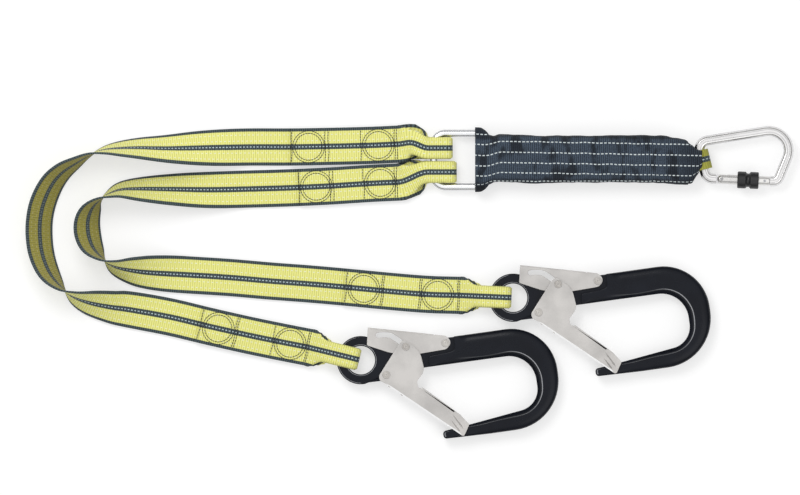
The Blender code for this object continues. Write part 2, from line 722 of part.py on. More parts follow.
def make_hooks():
    body = hook_body_mesh()
    gate = gate_mesh()
    lever = lever_mesh()
    lever_seat = SHANK_THICKNESS / 2 + PLATE_GAP + PLATE_THICKNESS
    gate_seat = lever_seat + PLATE_GAP + PLATE_THICKNESS
    gate_rivet = rivet_mesh(RIVET_RADIUS, gate_seat, GATE_PIVOT)
    link_pin = rivet_mesh(LINK_PIN_RADIUS, gate_seat, GATE_PIN_PLACE)
    lever_rivet = rivet_mesh(RIVET_RADIUS, lever_seat, LEVER_PIVOT)
    spring = hook_spring_mesh()
    for side, leg in LEGS.items():
        centre = bpy.data.objects.new(f"{side}_hook_eye_centre", None)
        PARTS.objects.link(centre)
        centre.location = (*leg["eye"], HOOK_THICKNESS / 2)
        centre.rotation_euler = (0, 0, HOOK_TURN)
        gate_origin, lever_origin = (*GATE_PIVOT, 0), (*LEVER_PIVOT, 0)
        place(f"{side}_hook_body", body, "forged_aluminium", centre)
        place(f"{side}_hook_gate_rivet", gate_rivet, "rivet_steel", centre)
        place(f"{side}_hook_lever_rivet", lever_rivet, "rivet_steel", centre)
        place(f"{side}_hook_gate_spring", spring, "spring_steel", centre)
        place(f"{side}_hook_gate", gate, "pressed_steel", centre, gate_origin)
        place(f"{side}_hook_link_pin", link_pin, "rivet_steel", centre, gate_origin)
        place(f"{side}_hook_lock_lever", lever, "pressed_steel", centre, lever_origin)
        bpy.context.view_layer.update()
        for label, spot in (("gate pivot", GATE_PIVOT), ("lever pivot", LEVER_PIVOT)):
            world = centre.matrix_world @ Vector((*spot, 0))
            print(f"{side} hook {label}: {world.x:.5f} {world.y:.5f} {world.z:.5f}")


def gate_axis():
    """The karabiner gate's frame: X from hinge to nose, origin on the hinge."""
    along = GATE_NOSE - GATE_HINGE
    turn = math.atan2(along.y, along.x)
    place_at = Matrix.Translation((*GATE_HINGE, KARABINER_HEIGHT))
    return place_at @ Matrix.Rotation(turn, 4, "Z"), along.length


def karabiner_bar_middle():
    """The point of the bar's axis on the pouch's own middle line."""
    share = KARABINER_BAR_TOP.y / (KARABINER_BAR_TOP.y - KARABINER_BAR_BOTTOM.y)
    return KARABINER_BAR_TOP.lerp(KARABINER_BAR_BOTTOM, share)


def make_karabiner():
    """Frame, gate with its bore, pusher and spring, pins and the screw sleeve."""
    to_world, gate_length = gate_axis()
    radius = KARABINER_ROD_RADIUS
    half = TONGUE_THICKNESS / 2
    clear = radius + 0.0008
    start = to_world @ Vector((-clear, 0, 0))
    end = to_world @ Vector((gate_length + clear, 0, 0))
    corners = [
        (start.x, start.y, 0), (*KARABINER_BAR_BOTTOM, 0.009), (*KARABINER_BAR_TOP, 0.010),
        (0.2300, 0.0376, 0.0215), (0.2052, -0.0236, 0.0072), (end.x, end.y, 0),
    ]
    outline = rounded(corners, math.radians(14))
    points = [(p.x, p.y, KARABINER_HEIGHT) for p in outline]
    frame = tube(points, radius, 2)
    tongue_radius = radius - 0.0006
    hinge_tongue = slab(
        rounded(
            [
                (-clear - 0.002, -tongue_radius, 0), (0, -tongue_radius, 0),
                (tongue_radius, -tongue_radius, tongue_radius * 0.98),
                (tongue_radius, tongue_radius, tongue_radius * 0.98),
                (0, tongue_radius, 0), (-clear - 0.002, tongue_radius, 0),
            ],
            math.radians(18),
        ),
        -half, half,
    )
    notch = KARABINER_PIN_RADIUS + 0.0004
    nose_tongue = slab(
        rounded(
            [
                (gate_length + clear + 0.002, -tongue_radius, 0), (gate_length + clear + 0.002, tongue_radius, 0),
                (gate_length + notch, tongue_radius, 0.0004), (gate_length + notch, -notch, notch * 0.9),
                (gate_length - notch, -notch, notch * 0.9), (gate_length - notch, 0.0012, 0.0004),
                (gate_length - notch - 0.0022, 0.0012, 0.0006),
                (gate_length - notch - 0.0022, -tongue_radius, 0.001),
            ],
            math.radians(18),
        ),
        -half, half,
    )
    for tongue in (hinge_tongue, nose_tongue):
        tongue.transform(to_world)
    frame = carve(frame, [hinge_tongue, nose_tongue], "UNION")
    hinge_hole = upright(KARABINER_PIN_RADIUS + GAP, -radius, radius, (0, 0), 16)
    hinge_hole.transform(to_world)
    frame = carve(frame, [hinge_hole])

    pivot = bpy.data.objects.new("karabiner_swing_axis", None)
    PARTS.objects.link(pivot)
    pivot.location = (*karabiner_bar_middle(), KARABINER_HEIGHT)
    place("karabiner_frame", frame, "karabiner_aluminium", pivot, pivot.location)
    bpy.data.objects["karabiner_frame"].location = (0, 0, 0)

    ball = [
        (radius * math.sin(math.radians(a)), radius * math.cos(math.radians(a))) for a in range(0, 90, 15)
    ]
    blank = turned([*ball, (radius, 0), (radius, -gate_length - 0.0049), (radius - 0.0006, -gate_length - radius),
                    (0, -gate_length - radius)], 18)
    lay_down = Matrix.Rotation(-math.pi / 2, 4, "Y")
    blank.transform(lay_down)
    slot = half + GAP
    bore = upright(GATE_BORE_RADIUS, -PUSHER_BORE_END, -0.004, (0, 0), 16)
    bore.transform(lay_down)
    gate = carve(
        blank,
        [
            block((-0.010, -0.010, -slot), (0.0062, 0.010, slot)),
            block((gate_length - 0.0062, -0.010, -slot), (gate_length + 0.010, 0.010, slot)),
            upright(KARABINER_PIN_RADIUS + GAP, -radius, radius, (0, 0), 16),
            upright(KARABINER_PIN_RADIUS + GAP, -radius, radius, (gate_length, 0), 16),
            bore,
        ],
    )
    pusher_start = tongue_radius + GAP
    pusher = turned(
        [
            (0, -pusher_start), (PUSHER_TIP_RADIUS, -pusher_start), (PUSHER_TIP_RADIUS, 0.0013 - PUSHER_BACK),
            (GATE_BORE_RADIUS - GAP, 0.0013 - PUSHER_BACK), (GATE_BORE_RADIUS - GAP, -PUSHER_BACK),
            (0, -PUSHER_BACK),
        ],
        14,
    )
    pusher.transform(lay_down)
    coil = []
    clear = GAP + PUSHER_WIRE_RADIUS
    first, last = PUSHER_BACK + clear, PUSHER_BORE_END - clear
    coil_radius = GATE_BORE_RADIUS - GAP - PUSHER_WIRE_RADIUS
    count = PUSHER_SPRING_TURNS * 9
    for k in range(count + 1):
        angle = 2 * math.pi * k / 9
        coil.append((mix(first, last, k / count), coil_radius * math.cos(angle), coil_radius * math.sin(angle)))
    spring = tube(coil, PUSHER_WIRE_RADIUS, 1)
    pin_half = radius - 0.0002
    pins = [upright(KARABINER_PIN_RADIUS, -pin_half, pin_half, (x, 0), 16) for x in (0, gate_length)]
    bore_radius = radius + GAP
    half_length = SLEEVE_LENGTH / 2
    middle = SLEEVE_PLACE + half_length
    sleeve = turned(
        [
            (SLEEVE_RADIUS - 0.0010, half_length), (SLEEVE_RADIUS, half_length - 0.0012),
            (SLEEVE_RADIUS, 0.0026), (SLEEVE_RADIUS - 0.0018, 0.0012), (SLEEVE_RADIUS - 0.0018, -0.0012),
            (SLEEVE_RADIUS, -0.0026), (SLEEVE_RADIUS, 0.0012 - half_length),
            (SLEEVE_RADIUS - 0.0010, -half_length), (bore_radius, -half_length), (bore_radius, half_length),
        ],
        24,
        closed=True,
    )
    sleeve.transform(Matrix.Translation((middle, 0, 0)) @ lay_down)
    hinge = to_world.translation - pivot.location
    pieces = [
        ("karabiner_gate", gate, "karabiner_aluminium"), ("karabiner_latch_pin", pins[1], "rivet_steel"),
        ("karabiner_gate_spring", spring, "spring_steel"), ("karabiner_gate_pusher", pusher, "spring_steel"),
        ("karabiner_screw_sleeve", sleeve, "black_sleeve"), ("karabiner_hinge_pin", pins[0], "rivet_steel"),
    ]
    for name, mesh, material in pieces:
        piece = place(name, mesh, material, pivot)
        piece.location = hinge
        piece.rotation_euler = to_world.to_euler()
    print("karabiner hinge", tuple(round(v, 5) for v in to_world.translation), "gate turn", to_world.to_euler().z)


def cover_ring(x, low, high, height):
    """A flattened tube's section, flat where it lies on the surface."""
    power = 2 / COVER_SQUARENESS
    ring = []
    for k in range(24):
        angle = 2 * math.pi * (k + 0.5) / 24
        across, up = math.cos(angle), math.sin(angle)
        y = (low + high) / 2 + (high - low) / 2 * math.copysign(abs(across) ** power, across)
        z = height / 2 + height / 2 * math.copysign(abs(up) ** power, up)
        ring.append(Vector((x, y, max(z, COVER_FLAT) - COVER_FLAT)))
    return ring


def make_absorber():
    bar_x, side = RING_LEFT_X + RING_LENGTH, RING_WIDTH / 2 + RING_ROD_RADIUS
    mouth = [(bar_x + past, -side - below, side + above, height) for past, below, above, height in COVER_MOUTH]
    rings = [cover_ring(*station) for station in mouth + COVER_STATIONS]
    skin = loft(rings, closed_ends=False)
    wall = {"thickness": COVER_WALL, "offset": -1.0, "use_even_offset": True}
    cover = mesh_from(skin, [("SOLIDIFY", wall)])
    low, high = COVER_END_CUT_HEIGHTS
    past, reach = COVER_TRIM_END, COVER_TRIM_REACH
    upper = [Vector(p) for p in COVER_END[:3]] + [Vector((past, COVER_END[2][1])), Vector((past, reach))]
    upper.append(Vector((COVER_END[0][0], reach)))
    lower = [Vector(p) for p in COVER_END[3:]] + [Vector((COVER_END[4][0], -reach)), Vector((past, -reach))]
    lower.append(Vector((past, COVER_END[3][1])))
    trims = [slab(outline, COVER_TRIM_BOTTOM, COVER_TRIM_TOP) for outline in (upper, lower)]
    trims.append(block((COVER_END_CUT_X, -reach, low), (past, reach, high)))
    cover = carve(cover, trims)
    place("absorber_cover", cover, "cover_webbing")

    pitch = PACK_WEB_THICKNESS + GAP
    base = PACK_BASE + PACK_WEB_THICKNESS / 2
    line = []
    for layer in range(PACK_LAYERS):
        height = base + layer * pitch
        ends = (PACK_START_X, PACK_END_X) if layer % 2 == 0 else (PACK_END_X, PACK_START_X)
        line += [(ends[0], height), (ends[1], height)]
        if layer < PACK_LAYERS - 1:
            way = 1 if layer % 2 == 0 else -1
            for degrees in (-45, 0, 45):
                turn = math.radians(degrees)
                line.append((ends[1] + way * pitch / 2 * math.cos(turn),
                             height + pitch / 2 + pitch / 2 * math.sin(turn)))
    across = Vector((0, 1, 0))
    stations = [(Vector((x, PACK_MIDDLE_Y, z)), across, PACK_WIDTH, PACK_WEB_THICKNESS) for x, z in line]
    place("tear_webbing_pack", ribbon(stations), "tear_webbing")

    overhang = pitch / 2 + PACK_WEB_THICKNESS / 2 + GAP
    bar = KARABINER_BAR_TOP - KARABINER_BAR_BOTTOM
    ring_bar = Vector((RING_LEFT_X + RING_LENGTH, 0))
    loops = [
        ("absorber_ring_loop", ring_bar, math.pi, PACK_START_X - overhang - ring_bar.x, RING_HEIGHT,
         RING_ROD_RADIUS, RING_LOOP_THICKNESS, RING_LOOP_WIDTH, "tear_webbing"),
        ("absorber_karabiner_loop", karabiner_bar_middle(), math.atan2(-bar.x, bar.y), KARABINER_LOOP_LENGTH,
         KARABINER_HEIGHT, KARABINER_ROD_RADIUS, KARABINER_LOOP_THICKNESS, KARABINER_LOOP_WIDTH, "leg_webbing"),
    ]
    for name, rod, heading, length, rod_z, rod_radius, thickness, width, material in loops:
        bend = rod_radius + GAP + thickness / 2
        ahead = Vector((math.cos(heading), math.sin(heading), 0))
        path = [(-length, bend), (-length / 2, bend)]
        for k in range(13):
            turn = math.pi / 2 - math.pi * k / 12
            path.append((bend * math.cos(turn), bend * math.sin(turn)))
        path += [(-length / 2, -bend), (-length, -bend)]
        left = Vector((-ahead.y, ahead.x, 0))
        stations = [(Vector((*rod, rod_z + z)) + ahead * x, left, width, thickness) for x, z in path]
        place(name, ribbon(stations), material)


for old in list(bpy.data.objects):
    bpy.data.objects.remove(old)
PARTS = new_collection("twin_shock_absorbing_lanyard")
CUTTERS = new_collection("cutters")
MADE_MATERIALS = {name: make_material(name) for name in MATERIALS}
for leg_name in LEGS:
    make_leg(leg_name)
make_ring()
make_hooks()
make_karabiner()
make_absorber()
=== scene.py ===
# Twin-leg fall-arrest lanyard laid out flat, seen from straight above.
# Every size is in metres, in the same place as the solid model.
import math

import bmesh
import bpy
from mathutils import Matrix, Vector, noise


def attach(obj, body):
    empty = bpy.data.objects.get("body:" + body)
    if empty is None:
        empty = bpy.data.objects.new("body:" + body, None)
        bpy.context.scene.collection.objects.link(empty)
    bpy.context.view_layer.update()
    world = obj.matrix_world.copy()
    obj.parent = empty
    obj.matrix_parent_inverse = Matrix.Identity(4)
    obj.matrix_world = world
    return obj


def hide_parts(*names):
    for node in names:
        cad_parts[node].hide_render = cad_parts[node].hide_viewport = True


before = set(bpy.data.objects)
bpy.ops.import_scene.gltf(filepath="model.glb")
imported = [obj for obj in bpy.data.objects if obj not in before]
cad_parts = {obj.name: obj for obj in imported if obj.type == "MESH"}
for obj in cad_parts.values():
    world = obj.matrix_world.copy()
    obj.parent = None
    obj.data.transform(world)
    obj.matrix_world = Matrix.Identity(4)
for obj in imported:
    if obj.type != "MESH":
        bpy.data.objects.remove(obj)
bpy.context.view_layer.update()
heldStill = "webbing_and_absorber"  # the body that the webbing, the ring and the pouch belong to
print("loaded the solid model:", len(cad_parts), "nodes")

# Nodes are planned as (name, node type, {setting: value}, {socket: value or (node name, socket)})


def makeNodes(tree, plan):
    made = {}
    for name, kind, settings, sockets in plan:
        node = tree.nodes.new(kind)
        node.name = node.label = name
        for key, value in settings.items():
            setattr(node, key, value)
        for key, value in sockets.items():
            socket = node.inputs[key]
            if isinstance(value, tuple) and len(value) == 2 and isinstance(value[0], str):
                tree.links.new(made[value[0]].outputs[value[1]], socket)
            else:
                socket.default_value = value
        made[name] = node
    return made


def mathNode(name, operation, *values, clamp=False):
    return (name, "ShaderNodeMath", {"operation": operation, "use_clamp": clamp}, dict(enumerate(values)))


def rangeNode(name, value, start, end, low=0.0, high=1.0, shape="LINEAR"):
    return (name, "ShaderNodeMapRange", {"interpolation_type": shape},
            {"Value": value, "From Min": start, "From Max": end, "To Min": low, "To Max": high})


def noiseNode(name, place, scale, detail):
    return (name, "ShaderNodeTexNoise", {}, {"Vector": place, "Scale": scale, "Detail": detail})


def mixNumber(name, factor, first, second):
    return (name, "ShaderNodeMix", {"data_type": "FLOAT"}, {0: factor, 2: first, 3: second})


def mixColour(name, factor, first, second):
    return (name, "ShaderNodeMix", {"data_type": "RGBA"}, {0: factor, 6: first, 7: second})


def bumpNode(height, strength, distance):
    return ("bump", "ShaderNodeBump", {}, {"Strength": strength, "Distance": distance, "Height": height})


def addPiece(name, data):
    piece = bpy.data.objects.new(name, data)
    bpy.context.scene.collection.objects.link(piece)
    return piece


# Camera, lamps and surface

studio = {
    "viewCentre": (-0.2101, -0.09625),
    "viewWidth": 0.88,
    "viewHeight": 1.6,
    "viewDepth": 10,
    "worldLevel": 0.62,
    "lamps": {"keyLamp": (13.0, (-0.75, 0.85, 1.5), 0.9), "fillLamp": (3.5, (0.85, -0.75, 1.2), 1.2)},
    "surfaceHalf": 3.0,
    "surfaceHeight": -0.0006,
    "surfaceColour": (0.52, 0.52, 0.52, 1),
    "surfaceLook": {"Roughness": 0.9, "Specular IOR Level": 0.1},
    "surfaceLift": 0.56,
    "skyBand": (0.05, 0.92),
    "skyEdge": 0.08,
    "skyTop": 1.0,
}


def layStudio(s):
    white = (1, 1, 1, 1)
    scene = bpy.context.scene
    scene.view_settings.view_transform = "Standard"
    view = bpy.data.cameras.new("fromAbove")
    view.type = "ORTHO"
    view.ortho_scale = s["viewWidth"]
    view.clip_end = s["viewDepth"]
    scene.camera = addPiece("fromAbove", view)
    scene.camera.location = (*s["viewCentre"], s["viewHeight"])

    world = bpy.data.worlds.new("paleRoom")
    scene.world = world
    world.use_nodes = True
    made = makeNodes(
        world.node_tree,
        [
            ("rays", "ShaderNodeLightPath", {}, {}),
            ("direction", "ShaderNodeTexCoord", {}, {}),
            ("parts", "ShaderNodeSeparateXYZ", {}, {0: ("direction", "Generated")}),
            rangeNode("sky", ("parts", 2), *s["skyBand"], s["skyEdge"], s["skyTop"], "SMOOTHSTEP"),
            mixNumber("mirrored", ("rays", "Is Glossy Ray"), s["worldLevel"], ("sky", 0)),
            mathNode("through", "MAXIMUM", ("rays", "Is Camera Ray"), ("rays", "Is Transmission Ray")),
            mixNumber("level", ("through", 0), ("mirrored", 0), 1.0),
        ],
    )
    background = world.node_tree.nodes["Background"]
    background.inputs["Color"].default_value = white
    world.node_tree.links.new(made["level"].outputs[0], background.inputs["Strength"])

    for name, (watts, place, size) in s["lamps"].items():
        lamp = bpy.data.lights.new(name, "AREA")
        lamp.energy = watts
        lamp.size = size
        holder = addPiece(name, lamp)
        holder.location = place
        aim = Vector((*s["viewCentre"], 0)) - Vector(place)
        holder.rotation_euler = aim.to_track_quat("-Z", "Y").to_euler()

    sheet = bpy.data.meshes.new("paleSurface")
    half = s["surfaceHalf"]
    sheet.from_pydata([(x, y, 0) for x, y in ((-half, -half), (half, -half), (half, half), (-half, half))],
                      [], [(0, 1, 2, 3)])
    surface = addPiece("paleSurface", sheet)
    surface.location.z = s["surfaceHeight"]
    paint = bpy.data.materials.new("paleSurface")
    paint.use_nodes = True
    made = makeNodes(
        paint.node_tree,
        [
            ("rays", "ShaderNodeLightPath", {}, {}),
            mathNode("seen", "MAXIMUM", ("rays", "Is Camera Ray"), ("rays", "Is Glossy Ray")),
            mathNode("lift", "MULTIPLY", ("seen", 0), s["surfaceLift"]),
        ],
    )
    shader = paint.node_tree.nodes["Principled BSDF"]
    look = {"Base Color": s["surfaceColour"], "Emission Color": white, **s["surfaceLook"]}
    for key, value in look.items():
        shader.inputs[key].default_value = value
    paint.node_tree.links.new(made["lift"].outputs[0], shader.inputs["Emission Strength"])
    sheet.materials.append(paint)


layStudio(studio)
print("laid the surface, the camera and two lamps")

# Shader groups that several materials share

number, vector = "NodeSocketFloat", "NodeSocketVector"


def makeGroup(name, inputs, outputs, plan):
    group = bpy.data.node_groups.new(name, "ShaderNodeTree")
    for label, kind, start in inputs:
        socket = group.interface.new_socket(name=label, in_out="INPUT", socket_type=kind)
        if start is not None:
            socket.default_value = start
    for label in outputs:
        group.interface.new_socket(name=label, in_out="OUTPUT", socket_type=number)
    results = {label: (source, 0) for label, source in outputs.items()}
    makeNodes(group, [("in", "NodeGroupInput", {}, {}), *plan, ("out", "NodeGroupOutput", {}, results)])
    return group


def ridges(name, distance, pitch):
    # Round-topped ridges, one to a pitch
    return [
        mathNode(f"{name}Turns", "DIVIDE", ("in", distance), ("in", pitch)),
        mathNode(f"{name}Angle", "MULTIPLY", (f"{name}Turns", 0), math.pi),
        mathNode(f"{name}Wave", "SINE", (f"{name}Angle", 0)),
        mathNode(name, "ABSOLUTE", (f"{name}Wave", 0)),
    ]


weave = {"roundness": 0.6, "ribShare": 0.75, "fuzzShare": 0.3, "fuzzSize": 900.0, "shadeFrom": 0.15,
         "shadeTo": 1.1}

# Cross ribs of narrow webbing with its lengthwise threads, from the strap's own coordinates
wovenRibs = makeGroup(
    "wovenRibs",
    [("Across", number, 0.0), ("Along", number, 0.0), ("Rib Pitch", number, 0.0024),
     ("Thread Pitch", number, 0.0009), ("Roughness Of Threads", number, 0.35)],
    {"Height": "height", "Shade": "shade"},
    [
        *ridges("rib", "Along", "Rib Pitch"),
        mathNode("ribRound", "POWER", ("rib", 0), weave["roundness"]),
        *ridges("thread", "Across", "Thread Pitch"),
        ("place", "ShaderNodeCombineXYZ", {}, {0: ("in", "Across"), 1: ("in", "Along")}),
        noiseNode("fuzz", ("place", 0), weave["fuzzSize"], 3.0),
        mathNode("threadPart", "MULTIPLY", ("thread", 0), ("in", "Roughness Of Threads")),
        mathNode("ribPart", "MULTIPLY_ADD", ("ribRound", 0), weave["ribShare"], ("threadPart", 0)),
        mathNode("height", "MULTIPLY_ADD", ("fuzz", 0), weave["fuzzShare"], ("ribPart", 0)),
        rangeNode("shade", ("height", 0), weave["shadeFrom"], weave["shadeTo"]),
    ],
)

# One lengthwise row of pale marker stitches: 1 inside a dash, 0 outside
markerDashes = makeGroup(
    "markerDashes",
    [("Across", number, 0.0), ("Along", number, 0.0), ("Row", number, 0.0), ("Half Width", number, 0.0005),
     ("Pitch", number, 0.0048), ("Filled Share", number, 0.35), ("Shift", number, 0.0)],
    {"Mask": "both"},
    [
        mathNode("from", "SUBTRACT", ("in", "Across"), ("in", "Row")),
        mathNode("away", "ABSOLUTE", ("from", 0)),
        rangeNode("side", ("away", 0), ("in", "Half Width"), 0.0, 0.0, 2.2, "SMOOTHSTEP"),
        mathNode("moved", "ADD", ("in", "Along"), ("in", "Shift")),
        mathNode("turns", "DIVIDE", ("moved", 0), ("in", "Pitch")),
        mathNode("part", "FRACT", ("turns", 0)),
        mathNode("middle", "SUBTRACT", ("part", 0), 0.5),
        mathNode("distance", "ABSOLUTE", ("middle", 0)),
        mathNode("reach", "MULTIPLY", ("in", "Filled Share"), 0.5),
        mathNode("end", "SUBTRACT", ("reach", 0), ("distance", 0)),
        rangeNode("soft", ("end", 0), -0.02, 0.05),
        mathNode("both", "MULTIPLY", ("side", 0), ("soft", 0), clamp=True),
    ],
)

# Scuffs and cloudy patches on metal, from the piece's own place in space
handlingMarks = makeGroup(
    "handlingMarks",
    [("Place", vector, None), ("Grain Size", number, 900.0), ("Cloud Size", number, 35.0),
     ("Low Roughness", number, 0.3), ("High Roughness", number, 0.45)],
    {"Roughness": "rough", "Grain": "grain", "Cloud": "even"},
    [
        noiseNode("grain", ("in", "Place"), ("in", "Grain Size"), 4.0),
        noiseNode("cloud", ("in", "Place"), ("in", "Cloud Size"), 5.0),
        mathNode("sum", "MULTIPLY_ADD", ("grain", 0), 0.35, ("cloud", 0)),
        rangeNode("rough", ("sum", 0), 0.35, 1.0, ("in", "Low Roughness"), ("in", "High Roughness")),
        rangeNode("even", ("sum", 0), 0.50, 0.85),
    ],
)
print("built the shared shader groups")

# Materials


def newMaterial(name, base, roughness, metallic=0.0, plan=(), wires=None, **more):
    # wires is {shader socket: (node name, socket)}
    material = bpy.data.materials.new(name)
    material.use_nodes = True
    tree = material.node_tree
    shader = tree.nodes["Principled BSDF"]
    look = {"Base Color": (*base, 1), "Roughness": roughness, "Metallic": metallic, **more}
    for key, value in look.items():
        shader.inputs[key].default_value = value
    material.diffuse_color = (*base, 1)
    made = makeNodes(tree, plan)
    for key, (node, socket) in (wires or {}).items():
        tree.links.new(made[node].outputs[socket], shader.inputs[key])
    return material


def strapNodes(ribPitch, threads=0.35):
    # The strap's own coordinates, across and along, and the ribs woven over them
    return [
        ("strap", "ShaderNodeUVMap", {"uv_map": "strap"}, {}),
        ("uv", "ShaderNodeSeparateXYZ", {}, {0: ("strap", 0)}),
        ("ribs", "ShaderNodeGroup", {"node_tree": wovenRibs},
         {"Across": ("uv", 0), "Along": ("uv", 1), "Rib Pitch": ribPitch, "Roughness Of Threads": threads}),
    ]


def dashRow(name, row, pitch, half, filled, shift=0.0):
    return (name, "ShaderNodeGroup", {"node_tree": markerDashes},
            {"Across": ("uv", 0), "Along": ("uv", 1), "Row": row, "Half Width": half, "Pitch": pitch,
             "Filled Share": filled, "Shift": shift})


def dashRows(rows, pitch, dash, shifts):
    # Several rows of marker stitches, the last node being the mask of all of them
    plan = []
    for i, (row, shift) in enumerate(zip(rows, shifts)):
        plan.append(dashRow(f"dashes{i}", row, pitch, *dash, shift))
        before = (f"rows{i - 1}", 0) if i else ("dashes0", 0)
        plan.append(mathNode(f"rows{i}", "MAXIMUM", before, (f"dashes{i}", 0)))
    return plan


legColours = {
    "yellow": (0.97, 0.96, 0.315, 1),
    "yellowShade": (0.50, 0.49, 0.045, 1),
    # The two underside colours are painted shade: the same yellow webbing where its underside turns up at the
    # bends, seen in its own shade
    "shadedUnderside": (0.38, 0.34, 0.060, 1),
    "shadedUndersideGap": (0.20, 0.175, 0.026, 1),
    "edge": (0.075, 0.110, 0.120, 1),
    "edgeShade": (0.003, 0.005, 0.007, 1),
    "marker": (0.95, 0.96, 0.80, 1),
    "stripeMarker": (0.56, 0.68, 0.72, 1),
    "edgeWidth": 0.0036,
    "stripeHalf": 0.0031,
    "ribPitch": 0.0024,
    "markerRows": (-0.0132, -0.0066, 0.0066, 0.0132),
    "markerDash": (0.0006, 0.38),
    "stripePitch": 0.0038,
    "stripeDash": (0.00075, 0.5),
    "backMarkers": 0.25,
    "edgeContrast": 3.0,
    "bump": 0.00055,
}


def makeLegWebbing(name, width, c):
    rows = c["markerRows"]
    plan = [
        *strapNodes(c["ribPitch"]),
        # Painted shade: where the strap stands on edge its underside shows, and there the colour turns to the
        # darker underside colours
        ("lie", "ShaderNodeAttribute", {"attribute_name": "underside"}, {}),
        mathNode("away", "ABSOLUTE", ("uv", 0)),
        mathNode("edge", "GREATER_THAN", ("away", 0), width / 2 - c["edgeWidth"]),
        mathNode("stripe", "LESS_THAN", ("away", 0), c["stripeHalf"]),
        mathNode("dark", "MAXIMUM", ("edge", 0), ("stripe", 0)),
        mixColour("bright", ("ribs", "Shade"), c["yellowShade"], c["yellow"]),
        mixColour("paintedShade", ("ribs", "Shade"), c["shadedUndersideGap"], c["shadedUnderside"]),
        mixColour("ground", ("lie", "Fac"), ("bright", 2), ("paintedShade", 2)),
        mathNode("ticks", "POWER", ("ribs", "Shade"), c["edgeContrast"]),
        mixColour("darkThread", ("ticks", 0), c["edgeShade"], c["edge"]),
        mixColour("woven", ("dark", 0), ("ground", 2), ("darkThread", 2)),
        dashRow("stripeDashes", 0.0, c["stripePitch"], *c["stripeDash"]),
        rangeNode("dim", ("lie", "Fac"), 0.0, 1.0, 1.0, c["backMarkers"]),
        mathNode("stripeMask", "MULTIPLY", ("stripeDashes", 0), ("dim", 0)),
    ]
    woven = ("woven", 2)
    if rows:
        shifts = [c["ribPitch"] * (i % 2) for i in range(len(rows))]
        plan += dashRows(rows, c["ribPitch"] * 2, c["markerDash"], shifts)
        plan.append(mathNode("rowMask", "MULTIPLY", (f"rows{len(rows) - 1}", 0), ("dim", 0)))
        plan.append(mixColour("withRows", ("rowMask", 0), woven, c["marker"]))
        woven = ("withRows", 2)
    plan.append(mixColour("whole", ("stripeMask", 0), woven, c["stripeMarker"]))
    plan.append(bumpNode(("ribs", "Height"), 0.9, c["bump"]))
    return newMaterial(name, c["yellow"][:3], 0.78, 0.0, plan,
                       {"Base Color": ("whole", 2), "Normal": ("bump", 0)},
                       **{"Sheen Weight": 0.15, "Sheen Roughness": 0.4})


# Ranges are given as from, to, shade at from and shade at to
coverColours = {
    "thread": (0.092, 0.128, 0.180, 1),
    "gap": (0.002, 0.003, 0.005, 1),
    "marker": (0.84, 0.92, 0.94, 1),
    "ribPitch": 0.0023,
    "threads": 0.5,
    "dashPitch": 0.0045,
    "dash": (0.00080, 0.62),
    "dashShift": 0.0011,
    "rows": (-0.0238, -0.0134, -0.0022, 0.0094, 0.0216, 0.0330),
    "blotchDrawn": (0.45, 1.0, 1.0),
    "blotchSize": 62.0,
    "speckSize": 850.0,
    # Painted shade: random dark patches where the cover crumples, its crumpled right end, the rib gaps and
    # both long sides where it turns down; they darken the thread colour towards the gap colour
    "paintedShading": (0.36, 0.50, 0.28, 1.0),
    "crumpledEndShade": (0.080, 0.112, 1.0, 0.45),
    "ribGapShade": (0.50, 0.98, 0.0, 1.0),
    "lowSideShade": (-0.0235, -0.0180, 0.35, 1.0),
    "highSideShade": (0.0255, 0.0290, 1.0, 0.30),
    "grainy": (0.36, 0.62, 0.55, 1.0),
    "bump": 0.0008,
}


def makeCoverWebbing(c):
    rows = c["rows"]
    plan = [
        *strapNodes(c["ribPitch"], c["threads"]),
        ("drawnOut", "ShaderNodeMapping", {}, {"Vector": ("strap", 0), "Scale": c["blotchDrawn"]}),
        noiseNode("blotch", ("drawnOut", 0), c["blotchSize"], 2.0),
        noiseNode("speck", ("strap", 0), c["speckSize"], 1.0),
        # Painted shade: dark patches from the noise, a darker crumpled right end, darker rib gaps and darker
        # long sides where the cover turns down
        rangeNode("paintedShading", ("blotch", 0), *c["paintedShading"], "SMOOTHSTEP"),
        rangeNode("crumpledEndShade", ("uv", 1), *c["crumpledEndShade"], "SMOOTHSTEP"),
        rangeNode("ribGapShade", ("ribs", "Shade"), *c["ribGapShade"]),
        rangeNode("lowSideShade", ("uv", 0), *c["lowSideShade"], "SMOOTHSTEP"),
        rangeNode("highSideShade", ("uv", 0), *c["highSideShade"], "SMOOTHSTEP"),
        rangeNode("grainy", ("speck", 0), *c["grainy"]),
    ]
    for name, first, second in (("patchAndEndShade", "paintedShading", "crumpledEndShade"), ("sides", "lowSideShade", "highSideShade"),
                                ("paintedShade", "patchAndEndShade", "sides"), ("threads", "ribGapShade", "grainy"),
                                ("shade", "threads", "paintedShade")):
        plan.append(mathNode(name, "MULTIPLY", (first, 0), (second, 0)))
    plan.append(mixColour("woven", ("shade", 0), c["gap"], c["thread"]))
    plan += dashRows(rows, c["dashPitch"], c["dash"], [c["dashShift"] * i for i in range(len(rows))])
    plan.append(mixColour("whole", (f"rows{len(rows) - 1}", 0), ("woven", 2), c["marker"]))
    plan.append(bumpNode(("ribs", "Height"), 0.9, c["bump"]))
    return newMaterial("coverWebbing", c["thread"][:3], 0.85, 0.0, plan,
                       {"Base Color": ("whole", 2), "Normal": ("bump", 0)},
                       **{"Sheen Weight": 0.08, "Specular IOR Level": 0.25})


def makePlainWebbing(name, light, dark, ribPitch):
    plan = [
        *strapNodes(ribPitch),
        mixColour("woven", ("ribs", "Shade"), (*dark, 1), (*light, 1)),
        bumpNode(("ribs", "Height"), 0.8, 0.0004),
    ]
    return newMaterial(name, light, 0.85, 0.0, plan, {"Base Color": ("woven", 2), "Normal": ("bump", 0)})


